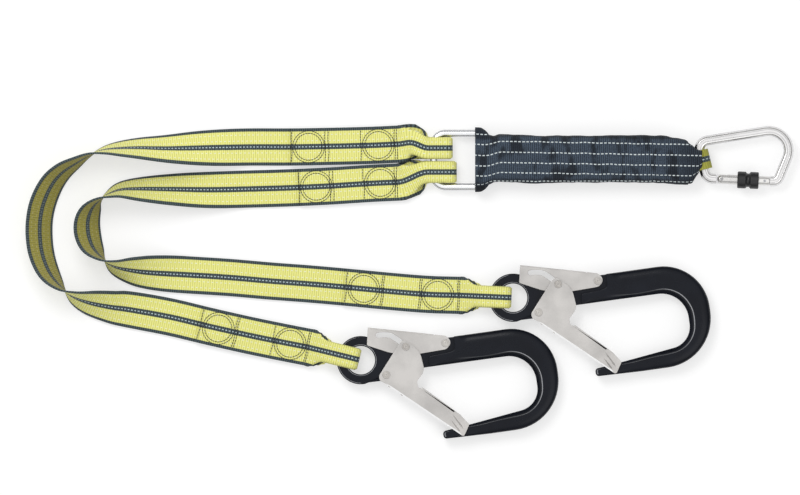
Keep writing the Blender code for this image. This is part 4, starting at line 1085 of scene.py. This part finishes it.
def assemble(name, meshes, material, place, node, body, angle=35.0):
    # One piece from several meshes, set into place, riding its body and standing in for its node
    work = bmesh.new()
    for mesh in meshes:
        work.from_mesh(mesh)
    whole = bpy.data.meshes.new(name)
    bmesh.ops.transform(work, matrix=place, verts=work.verts)
    work.to_mesh(whole)
    work.free()
    whole.materials.clear()
    piece = smoothPiece(name, whole, material)
    whole.set_sharp_from_angle(angle=math.radians(angle))
    if node:
        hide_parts(node)
    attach(piece, body)


def turnedAbout(point, pivot, degrees):
    return Matrix.Rotation(math.radians(degrees), 2) @ (Vector(point) - Vector(pivot)) + Vector(pivot)


def slotOutline(form):
    # The link pin's path as the pressed lever sees it, swept by the slot's radius
    path = []
    steps, quarters = 20, 8
    for k in range(steps + 1):
        share = mix(-form["slotBefore"], 1 + form["slotSpare"] / form["gateAngle"], k / steps)
        pin = turnedAbout(form["linkPin"], form["gatePivot"], form["gateAngle"] * share)
        path.append(turnedAbout(pin, form["leverPivot"], -form["leverAngle"] * min(share, 1)))
    one, other = [], []
    for i, point in enumerate(path):
        way = wayAt(path, i)
        side = Vector((-way.y, way.x)) * form["slotRadius"]
        one.append(point + side)
        other.append(point - side)
    turns = [Matrix.Rotation(-math.pi * k / quarters, 2) for k in range(1, quarters)]
    far = [path[-1] + turn @ (one[-1] - path[-1]) for turn in turns]
    near = [path[0] + turn @ (other[0] - path[0]) for turn in turns]
    return one + far + other[::-1] + near


plates = {
    "gate": [
        (0.0145, -0.0232, 0.006), (0.0485, 0.0170, 0.005), (0.0655, 0.0020, 0.020), (0.0680, -0.0215, 0.012),
        (0.0580, -0.0316, 0.0036), (0.0584, -0.0384, 0.0022),
        (0.0616, -0.0398, 0.0004), (0.0930, -0.0701, 0.0004),
        (0.0951, -0.0698, 0.0004), (0.1000, -0.0745, 0.002),
        (0.1085, -0.0865, 0.002), (0.1005, -0.0992, 0.002),
        (0.0215, -0.0282, 0.006),
    ],
    "gateLow": 0.0070, "gateHigh": 0.0084, "longEdge": ((0.0215, -0.0282), (0.1005, -0.0992)),
    "broadBevel": 0.0014, "fineBevel": 0.0003, "bevelDrop": 0.0005,
    "flange": ((0.0630, -0.0390), (0.0951, -0.0698)), "flangeWide": 0.00135, "flangeHigh": 0.0077,
    "ridges": (((0.0916, -0.0730), (0.1014, -0.0907)), ((0.0894, -0.0792), (0.0973, -0.0933))),
    "ridgeHalf": 0.0010, "ridgeHigh": 0.0009,
    "lever": [
        (0.0124, 0.0335, 0.0006), (0.0088, 0.0152, 0.002), (0.0330, 0.0034, 0.030), (0.0600, -0.0022, 0.010),
        (0.0950, -0.0012, 0.006), (0.1022, 0.0056, 0.006), (0.0965, 0.0136, 0.006), (0.0846, 0.0166, 0.0),
        (0.0836, 0.0158, 0.0),
    ],
    "leverLow": 0.0053, "leverHigh": 0.0067, "backFrom": (0.0126, 0.0345), "backTo": (0.0834, 0.0169),
    "backThick": 0.0014,
    "backBend": 0.0011, "leverEdge": 0.0003, "tabs": (0.0060, 0.0225), "tabLength": 0.0026,
    "tabSides": (-0.0004, 0.0007), "tabDrop": 0.0003, "bevelEnds": (0.002, 0.1052), "bevelFade": 0.004,
    "bevelBack": 0.0002, "leastDrop": 0.4, "fineHighlight": 0.45, "edgeNear": 0.0004, "edgeStep": 0.004,
    "flangeEdge": 0.0002,
}


def stampedMesh(outline, low, high, widths, p):
    # A plate with a bevel of its own width at every point, its bevels painted lighter as a highlight, wide
    # ones fully and narrow ones faintly
    hand = handOf(outline)
    work = bmesh.new()
    wear = work.verts.layers.float.new("paintedLightMask")
    rings = [[], [], [], []]
    for i, here in enumerate(outline):
        way = wayAt(outline, i, True)
        into = Vector((-way.y, way.x)) * hand
        share = min(widths[i] / p["broadBevel"], 1)
        insets = (0, 0, widths[i], widths[i] + p["bevelBack"])
        heights = (low, high - p["bevelDrop"] * max(share, p["leastDrop"]), high, high)
        for ring, inset, height, paintedShading in zip(rings, insets, heights, (0, share, share, 0)):
            vert = work.verts.new((*(here + into * inset), height))
            vert[wear] = paintedShading if share > 0.5 else p["fineHighlight"] * paintedShading
            ring.append(vert)
    joinRings(work, rings)
    work.faces.new(rings[0])
    work.faces.new(rings[-1][::-1])
    return meshOf(work, "stamped")


def barMesh(start, end, profile):
    # A straight bar between two points, its profile given as distance to the right and height
    start, end = Vector(start), Vector(end)
    way = (end - start).normalized()
    side = Vector((way.y, -way.x))
    work = bmesh.new()
    rings = [[work.verts.new((*(spot + side * out), height)) for out, height in profile]
             for spot in (start, end)]
    joinRings(work, rings)
    work.faces.new(rings[0][::-1])
    work.faces.new(rings[1])
    return meshOf(work, "bar")


def ridgeMesh(start, end, half, base, rise):
    # A pressed-up rib with a sharp crest that sinks into the plate at both ends
    start, end = Vector(start), Vector(end)
    way = (end - start).normalized()
    side = Vector((-way.y, way.x))
    work = bmesh.new()
    crest = [work.verts.new((*start.lerp(end, t), base + h * rise))
             for t, h in ((0, 0), (0.3, 0.8), (0.8, 1.0), (1, 0))]
    left, right = ([work.verts.new((*(start.lerp(end, t) + side * half * w * hand), base - 0.0001))
                    for t, w in ((0.3, 0.7), (0.8, 1.0))] for hand in (1, -1))
    for one, other in (left, right):
        work.faces.new((crest[1], crest[2], other, one))
        work.faces.new((crest[0], crest[1], one))
        work.faces.new((crest[2], crest[3], other))
    work.faces.new((crest[0], left[0], left[1], crest[3], right[1], right[0]))
    return meshOf(work, "ridge")


def flipped(mesh):
    # The same piece on the underside
    other = mesh.copy()
    other.transform(Matrix.Scale(-1, 4, (0, 0, 1)))
    other.flip_normals()
    return other


def gateMeshes(p):
    outline = evenly(filleted(p["gate"], math.radians(9)), p["edgeStep"])
    first, last = (Vector(end) for end in p["longEdge"])
    way = (last - first).normalized()
    start, end = p["bevelEnds"]
    widths = []
    for spot in outline:
        off = abs((spot - first).x * way.y - (spot - first).y * way.x)
        along = (spot - first).dot(way)
        share = fadeIn(along, start, p["bevelFade"]) * smoothStep((end - along) / p["bevelFade"])
        widths.append(mix(p["fineBevel"], p["broadBevel"], share if off < p["edgeNear"] else 0))
    low, high = p["gateLow"], p["gateHigh"]
    cheek = stampedMesh(outline, low, high, widths, p)
    tall, wide, edge = p["flangeHigh"], p["flangeWide"], p["flangeEdge"]
    flange = barMesh(*p["flange"], [(edge, -tall), (wide, -tall), (wide, tall), (edge, tall),
                                    (0, tall - edge), (0, edge - tall)])
    raised = [ridgeMesh(*ends, p["ridgeHalf"], high, p["ridgeHigh"]) for ends in p["ridges"]]
    inner, outer = p["tabSides"]
    top = high - p["tabDrop"]
    for along in p["tabs"]:
        spot = first + way * along
        raised.append(barMesh(spot, spot + way * p["tabLength"],
                              [(inner, low), (outer, low), (outer, top), (inner, top)]))
    made = [cheek, flipped(cheek), flange]
    for mesh in raised:
        made += [mesh, flipped(mesh)]
    return made


def leverMeshes(p, form):
    high, thick, bend = p["leverHigh"], p["backThick"], p["backBend"]
    hole = circle(form["leverPivot"], form["leverHole"])
    outlines = [filleted(p["lever"], math.radians(9)), slotOutline(form), hole]
    plate = plateMesh(outlines, p["leverLow"], high, p["leverEdge"])
    corner = [(bend * (1 - math.sin(t)), high - bend * (1 - math.cos(t)))
              for t in (0, 0.4, 0.8, 1.2, math.pi / 2)]
    profile = [(thick, -high), (thick, high), *corner, *((out, -height) for out, height in corner[::-1])]
    return [plate, flipped(plate), barMesh(p["backFrom"], p["backTo"], profile)]


def rivetMesh(radius, seat, centre, form):
    # A shaft with a stepped, ringed head at each end
    head, tall = form["rivetHead"], form["headHeight"]
    rim = [(radius, seat + form["headLift"]), (head, seat + form["headLift"])]
    rim += [(head * wide, seat + tall * high) for wide, high in form["headSteps"]]
    return latheMesh([(r, -z) for r, z in rim[::-1]] + rim, centre)


def wireMesh(points, radius, closed=False, sides=6):
    # A thin round line along points, level with the hook's own frame
    work = bmesh.new()
    rings = []
    points = [Vector(point) for point in points]
    turns = [2 * math.pi * k / sides for k in range(sides)]
    for i, here in enumerate(points):
        way = wayAt(points, i, closed)
        level = way.cross(Vector((0, 0, 1))).normalized()
        rise = level.cross(way)
        rings.append([work.verts.new(here + radius * (level * math.cos(turn) + rise * math.sin(turn)))
                      for turn in turns])
    joinRings(work, rings, closed)
    if not closed:
        work.faces.new(rings[0][::-1])
        work.faces.new(rings[-1])
    return meshOf(work, "line")


def makeHook(side, form):
    place = Matrix.Translation((*legs[side]["eye"], form["middle"]))
    place = place @ Matrix.Rotation(math.radians(form["turn"]), 4, "Z")
    dip = [(*circle(form["gatePivot"], form["dipRadius"], a, a + 1)[0], 0.0) for a in form["dipTurns"]]
    shank = circle((0, 0), form["eyeOuter"], *form["eyeArc"], 6.0)
    shank += filleted([*form["shank"], *dip, form["shankEnd"]], math.radians(15))
    holes = [circle((0, 0), form["eyeHole"] + form["holeRoom"], step=6.0),
             circle(form["gatePivot"], form["springSeat"]), circle(form["leverPivot"], form["leverHole"])]
    thin = plateMesh([shank, *holes], -form["shankHalf"], form["shankHalf"], form["shankEdge"])
    assemble(f"{side}HookBody", [bowMesh(form, bow), thin], blackForging, place, f"{side}_hook_body",
             f"{side}_hook", 50.0)
    # Thin bright wires along the eye's outer edge and round its hole: painted highlight lines
    highlightWires = []
    for edge, (offset, first, last, thread) in form["highlightWires"].items():
        line = circle((0, 0), form[edge] + offset, first, last, 4.0)
        for face in (1, -1):
            height = face * (form["shankHalf"] - form["highlightSink"])
            highlightWires.append(wireMesh([(*p, height) for p in line], thread, last - first >= 360))
    assemble(f"{side}EyeHighlights", highlightWires, paintedHighlight, place, None, f"{side}_hook")
    assemble(f"{side}Gate", gateMeshes(plates), tumbledSteel, place, f"{side}_hook_gate", f"{side}_gate")
    assemble(f"{side}LockLever", leverMeshes(plates, form), tumbledSteel, place, f"{side}_hook_lock_lever",
             f"{side}_lever")
    for name, node, centre, seat, radius, body in (
        ("GateRivet", "hook_gate_rivet", "gatePivot", "gateHigh", "pivotRadius", f"{side}_hook"),
        ("LinkPin", "hook_link_pin", "linkPin", "gateHigh", "linkRadius", f"{side}_gate"),
        ("LeverRivet", "hook_lever_rivet", "leverPivot", "leverHigh", "pivotRadius", f"{side}_hook"),
    ):
        rivet = rivetMesh(form[radius], plates[seat], form[centre], form)
        assemble(f"{side}{name}", [rivet], rivetSteel, place, f"{side}_{node}", body)


for side in legs:
    makeHook(side, hookForm)
print("forged the hooks")

# Connecting ring, karabiner frame and screw sleeve

# The last three values give the painted shade on the bar's steep sides: how dark, from what lean and over how
# many degrees
ringForm = {"left": -0.1731, "right": -0.1171, "half": 0.0294, "leftCorner": 0.013, "rightCorner": 0.008,
            "rod": 0.004, "height": 0.0089, "sides": 24, "wear": 0.8, "sideShadeFrom": 30, "sideShadeOver": 45}
# The section gives height, distance to the left of the path and how much painted shade darkens the bar there,
# at its sides and in its groove; the tongues get an even painted shade
karabinerForm = {
    "height": 0.0115, "hinge": (0.1438, -0.0210), "nose": (0.1910, -0.0230), "clear": 0.0063,
    "tongueHalf": 0.0020, "tongueRadius": 0.0049, "tongueEdge": 0.0002, "tongueShade": 0.6,
    "tonguePast": 0.002, "hookDepth": 0.0022, "hookTop": 0.0012, "pinRadius": 0.0015, "pinRoom": 0.0004,
    "corners": [(0.1270, -0.0203, 0.009), (0.1170, 0.0198, 0.010), (0.2300, 0.0376, 0.0215),
                (0.2052, -0.0236, 0.0072)],
    "section": [
        (0.0, 0.00550, 1.0), (0.0016, 0.00520, 0.75), (0.0031, 0.00430, 0.15), (0.0042, 0.00320, 0.0),
        (0.0046, 0.00240, 0.0), (0.0045, 0.00190, 0.55), (0.0040, 0.00150, 0.45), (0.00395, 0.00000, 0.16),
        (0.0040, -0.00110, 0.45), (0.0045, -0.00150, 0.55), (0.0046, -0.00220, 0.0), (0.0042, -0.00320, 0.0),
        (0.0031, -0.00430, 0.15), (0.0016, -0.00520, 0.75), (0.0, -0.00550, 1.0),
    ],
    "sleevePlace": 0.02895, "sleeveHalf": 0.01175, "sleeveRadius": 0.0093, "bore": 0.0058, "boreEdge": 0.0004,
    "sleeveRim": ((0.0012, 0), (0.0005, 0.0003), (0, 0.0010)),
    "sleeveWaist": ((0, 0.0029), (0.0003, 0.0025), (0.0017, 0.0013), (0.0019, 0.0009)),
}


def sweepMesh(points, section, closed):
    # A bar along a level path; the section gives height, distance to the left and how much painted light its
    # colour takes there
    work = bmesh.new()
    wear = work.verts.layers.float.new("paintedLightMask")
    rings = []
    for i, here in enumerate(points):
        way = wayAt(points, i, closed)
        left = Vector((-way.y, way.x))
        ring = []
        for height, aside, paintedShading in section:
            vert = work.verts.new((*(here + left * aside), height))
            vert[wear] = paintedShading
            ring.append(vert)
        rings.append(ring)
    joinRings(work, rings, closed)
    if not closed:
        work.faces.new(rings[0][::-1])
        work.faces.new(rings[-1])
    return meshOf(work, "sweep")


def makeRing(p):
    corners = [(p["left"], -p["half"], p["leftCorner"]), (p["right"], -p["half"], p["rightCorner"]),
               (p["right"], p["half"], p["rightCorner"]), (p["left"], p["half"], p["leftCorner"])]
    section = []
    for k in range(p["sides"]):
        turn = 2 * math.pi * k / p["sides"]
        # Painted shade: the bar's steep sides take the darker colour, standing in for their dimmer reflection
        lean = math.degrees(math.acos(abs(math.cos(turn))))
        paintedShading = p["wear"] * fadeIn(lean, p["sideShadeFrom"], p["sideShadeOver"])
        section.append((p["rod"] * math.cos(turn), p["rod"] * math.sin(turn), paintedShading))
    bar = sweepMesh(filleted(corners, math.radians(6)), section, True)
    lift = Matrix.Translation((0, 0, p["height"]))
    assemble("connectingRing", [bar], polishedRing, lift, "connecting_ring", heldStill)


def sleeveProfile(p):
    half, radius, bore = p["sleeveHalf"], p["sleeveRadius"], p["bore"]
    edge = p["boreEdge"]
    upper = [(bore, 0.0), (bore, half - edge), (bore + edge, half)]
    upper += [(radius - inset, half - drop) for inset, drop in p["sleeveRim"]]
    upper += [(radius - inset, height) for inset, height in p["sleeveWaist"]]
    return upper + [(r, -z) for r, z in upper[:0:-1]]


def makeKarabiner(p):
    hinge, nose = Vector(p["hinge"]), Vector(p["nose"])
    along = (nose - hinge).normalized()
    gateFrame = Matrix.Translation((*hinge, 0)) @ Matrix.Rotation(math.atan2(along.y, along.x), 4, "Z")
    length = (nose - hinge).length
    start, end = hinge - along * p["clear"], nose + along * p["clear"]
    path = filleted([(*start, 0), *p["corners"], (*end, 0)], math.radians(5))
    section = p["section"] + [(-height, aside, paintedShading) for height, aside, paintedShading in p["section"][-2:0:-1]]
    tip, notch, top = p["tongueRadius"], p["pinRadius"] + p["pinRoom"], p["hookTop"]
    far = length + p["clear"] + p["tonguePast"]
    near = -p["clear"] - p["tonguePast"]
    slot = length - notch
    tongues = []
    for outline in (
        [(near, -tip, 0), (0, -tip, 0), (tip, -tip, tip * 0.98), (tip, tip, tip * 0.98), (0, tip, 0),
         (near, tip, 0)],
        [(far, -tip, 0), (far, tip, 0), (length + notch, tip, 0.0004), (length + notch, -notch, notch * 0.9),
         (slot, -notch, notch * 0.9), (slot, top, 0.0004), (slot - p["hookDepth"], top, 0.0006),
         (slot - p["hookDepth"], -tip, 0.001)],
    ):
        tongue = plateMesh([filleted(outline, math.radians(12))], -p["tongueHalf"], p["tongueHalf"],
                           p["tongueEdge"])
        tongue.transform(gateFrame)
        # Painted shade: the tongues are painted evenly darker grey
        paintedShade = tongue.attributes.new("paintedLightMask", "FLOAT", "POINT")
        paintedShade.data.foreach_set("value", [p["tongueShade"]] * len(tongue.vertices))
        tongues.append(tongue)
    lift = Matrix.Translation((0, 0, p["height"]))
    bar = sweepMesh(path, section, False)
    assemble("karabinerFrame", [bar, *tongues], brightAlloy, lift, "karabiner_frame", "karabiner")
    sleeve = latheMesh(sleeveProfile(p), (0, 0), 48, True)
    sleevePlace = gateFrame @ Matrix.Translation((p["sleevePlace"], 0, 0))
    sleeve.transform(sleevePlace @ Matrix.Rotation(math.pi / 2, 4, "Y"))
    assemble("screwSleeve", [sleeve], blackSleeve, lift, "karabiner_screw_sleeve", "karabiner_sleeve")


makeRing(ringForm)
makeKarabiner(karabinerForm)
print("bent the ring and the karabiner")

# Absorber: cover, folded tear webbing and its two loops

# A station is its place along X, its lower and its upper side, and its height
pouch = {
    "stations": [
        (-0.1275, -0.0362, 0.0368, 0.0225), (-0.1215, -0.0360, 0.0364, 0.0235),
        (-0.1178, -0.0345, 0.0348, 0.0245), (-0.1150, -0.0318, 0.0322, 0.0252),
        (-0.1120, -0.0278, 0.0284, 0.0262), (-0.1070, -0.0252, 0.0274, 0.0272),
        (-0.1010, -0.0247, 0.0294, 0.0285), (-0.0850, -0.0258, 0.0284, 0.0290),
        (-0.0600, -0.0266, 0.0276, 0.0292), (-0.0300, -0.0258, 0.0278, 0.0290),
        (0.0000, -0.0256, 0.0276, 0.0292), (0.0300, -0.0253, 0.0278, 0.0290),
        (0.0600, -0.0256, 0.0280, 0.0288), (0.0800, -0.0262, 0.0276, 0.0282),
        (0.0930, -0.0272, 0.0252, 0.0268), (0.1040, -0.0278, 0.0228, 0.0254),
        (0.1105, -0.0278, 0.0180, 0.0250), (0.1165, -0.0180, 0.0132, 0.0248),
        (0.1222, -0.0092, 0.0118, 0.0246),
    ],
    "openFrom": 0.1085, "openHeights": (0.0040, 0.0205),
    "squareness": 4.5, "wall": 0.0015, "flat": 0.0006, "around": 72, "step": 0.0022,
    "wrinkle": 0.0014, "wrinkleShares": (0.6, 0.6, 0.25), "wrinkleFrom": 0.004,
    "foldSize": (0.018, 0.012, 0.02), "fineSize": (0.006, 0.02, 0.02), "fineShift": 9,
    "rowDrift": 0.0045, "rowWaver": 0.0007, "rowWaverLength": 0.014, "rowLean": 0.010,
    "mouthDip": 0.0040, "mouthFrom": -0.1145, "mouthLength": 0.017,
}


def rowDrift(x, p):
    # How far the rows of marker stitches have moved sideways at one place along the cover
    first, last = p["stations"][0][0], p["stations"][-1][0]
    waver = p["rowWaver"] * noise.noise(Vector((x / p["rowWaverLength"], 0, 0)))
    dip = p["mouthDip"] * (1 - fadeIn(x, p["mouthFrom"], p["mouthLength"]))
    return p["rowDrift"] * (x - first) / (last - first) + waver + dip


def wrinkleDepth(x, y, z, p):
    # How far the cover sinks in at one place, nothing where it lies on the surface
    level, broad, narrow = p["wrinkleShares"]
    fold = noise.noise(Vector([value / size for value, size in zip((x, y, z), p["foldSize"])]))
    fineX, fineY, fineZ = (value / size for value, size in zip((x, y, z), p["fineSize"]))
    fine = noise.noise(Vector((fineX + p["fineShift"], fineY, fineZ)))
    return max(p["wrinkle"] * (level + broad * fold + narrow * fine) * min(1, z / p["wrinkleFrom"]), 0)


def makeCover(p):
    work = bmesh.new()
    uvLayer = work.loops.layers.uv.new("strap")
    knots = [Vector(s[1:]) for s in p["stations"]]
    places = [s[0] for s in p["stations"]]
    count = round((places[-1] - places[0]) / p["step"])
    power = 2 / p["squareness"]
    rows = []
    at = 0
    for k in range(count + 1):
        x = mix(places[0], places[-1], k / count)
        while at < len(places) - 2 and places[at + 1] < x:
            at += 1
        t = (x - places[at]) / (places[at + 1] - places[at])
        low, high, tall = knots[at].lerp(knots[at + 1], smoothStep(t) * 0.5 + t * 0.5)
        drift = rowDrift(x, p)
        row = []
        for j in range(p["around"]):
            angle = 2 * math.pi * (j + 0.5) / p["around"]
            across, up = math.cos(angle), math.sin(angle)
            y = (low + high) / 2 + (high - low) / 2 * math.copysign(abs(across) ** power, across)
            z = tall / 2 + tall / 2 * math.copysign(abs(up) ** power, up)
            z = max(z, p["flat"]) - p["flat"]
            out = Vector((0, across, up)).normalized()
            vert = work.verts.new(Vector((x, y, z)) - out * wrinkleDepth(x, y, z, p))
            lean = drift * fadeIn(y, low, p["rowLean"])
            row.append((vert, (y if up > 0 else 2 * high - y) + lean, x))
        rows.append(row)
    lowest, highest = p["openHeights"]
    for row, following in zip(rows, rows[1:]):
        for j in range(p["around"]):
            i = (j + 1) % p["around"]
            corners = (row[j], row[i], following[i], following[j])
            middle = sum(corner[0].co.z for corner in corners) / 4
            if following[j][2] > p["openFrom"] and lowest < middle < highest:
                continue
            face = work.faces.new([corner[0] for corner in corners])
            for loop, (_, u, v) in zip(face.loops, corners):
                loop[uvLayer].uv = (u, v)
    piece = smoothPiece("pouchCover", meshOf(work, "pouchCover"), coverWebbing)
    wall = piece.modifiers.new("wall", "SOLIDIFY")
    wall.thickness = p["wall"]
    wall.offset = -1
    solid = evaluatedMesh(piece)
    piece.modifiers.clear()
    piece.data = solid
    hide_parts("absorber_cover")
    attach(piece, heldStill)


makeCover(pouch)

tearPack = {"startX": -0.100, "endX": 0.078, "width": 0.038, "layers": 8, "thickness": 0.0024, "gap": 0.0003,
            "base": 0.0024, "middle": 0.001, "shown": 0.94, "pieces": 12, "turns": range(-67, 68, 22)}
loopStraps = {
    "ring": {"node": "absorber_ring_loop", "rod": (-0.1171, 0.0, 0.0089), "heading": 180.0,
             "rodRadius": 0.004, "length": 0.01425, "thickness": 0.0026, "width": 0.036,
             "slot": "tear_webbing"},
    "karabiner": {"node": "absorber_karabiner_loop", "rod": (0.12194, 0.0, 0.0115), "heading": 14.0,
                  "rodRadius": 0.0055, "length": 0.0385, "thickness": 0.0036, "width": 0.0215,
                  "slot": "leg_webbing"},
}
loopDraw = {"gap": 0.0003, "shown": 0.95, "straight": 8, "bend": 16}


def makeTearPack(p):
    pitch = p["thickness"] + p["gap"]
    base = p["base"] + p["thickness"] / 2
    line = []
    for layer in range(p["layers"]):
        height = base + layer * pitch
        way = 1 if layer % 2 == 0 else -1
        ends = (p["startX"], p["endX"])[::way]
        line += [(mix(*ends, k / p["pieces"]), height) for k in range(p["pieces"] + 1)]
        if layer < p["layers"] - 1:
            for turn in map(math.radians, p["turns"]):
                line.append((ends[1] + way * pitch / 2 * math.cos(turn),
                             height + pitch / 2 * (1 + math.sin(turn))))
    marks = distances(line)
    half, thin = p["width"] / 2, p["thickness"] * p["shown"]
    stations = [(Vector((x, p["middle"], z)), Vector((0, 1, 0)), half, thin, 0.0, mark)
                for (x, z), mark in zip(line, marks)]
    piece = strapMesh("foldedTearWebbing", stations, tearWebbing)
    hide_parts("tear_webbing_pack")
    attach(piece, heldStill)
    print(f"tear webbing: {marks[-1]:.3f} m folded into {p['layers']} layers")


def makeLoopStrap(name, p, material, d):
    heading = math.radians(p["heading"])
    ahead = Vector((math.cos(heading), math.sin(heading), 0))
    left = Vector((-ahead.y, ahead.x, 0))
    bend = p["rodRadius"] + d["gap"] + p["thickness"] / 2
    path = [(-p["length"] * (1 - k / d["straight"]), bend) for k in range(d["straight"])]
    for k in range(d["bend"] + 1):
        turn = math.pi / 2 - math.pi * k / d["bend"]
        path.append((bend * math.cos(turn), bend * math.sin(turn)))
    path += [(-p["length"] * k / d["straight"], -bend) for k in range(1, d["straight"] + 1)]
    half, thin = p["width"] / 2, p["thickness"] * d["shown"]
    stations = [(Vector(p["rod"]) + ahead * x + Vector((0, 0, z)), left, half, thin, 0.0, mark)
                for (x, z), mark in zip(path, distances(path))]
    piece = strapMesh(name, stations, material)
    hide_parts(p["node"])
    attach(piece, heldStill)


makeTearPack(tearPack)
makeLoopStrap("ringLoopStrap", loopStraps["ring"], tearWebbing, loopDraw)
makeLoopStrap("karabinerLoopStrap", loopStraps["karabiner"], karabinerLoopWebbing, loopDraw)
print("made the absorber")
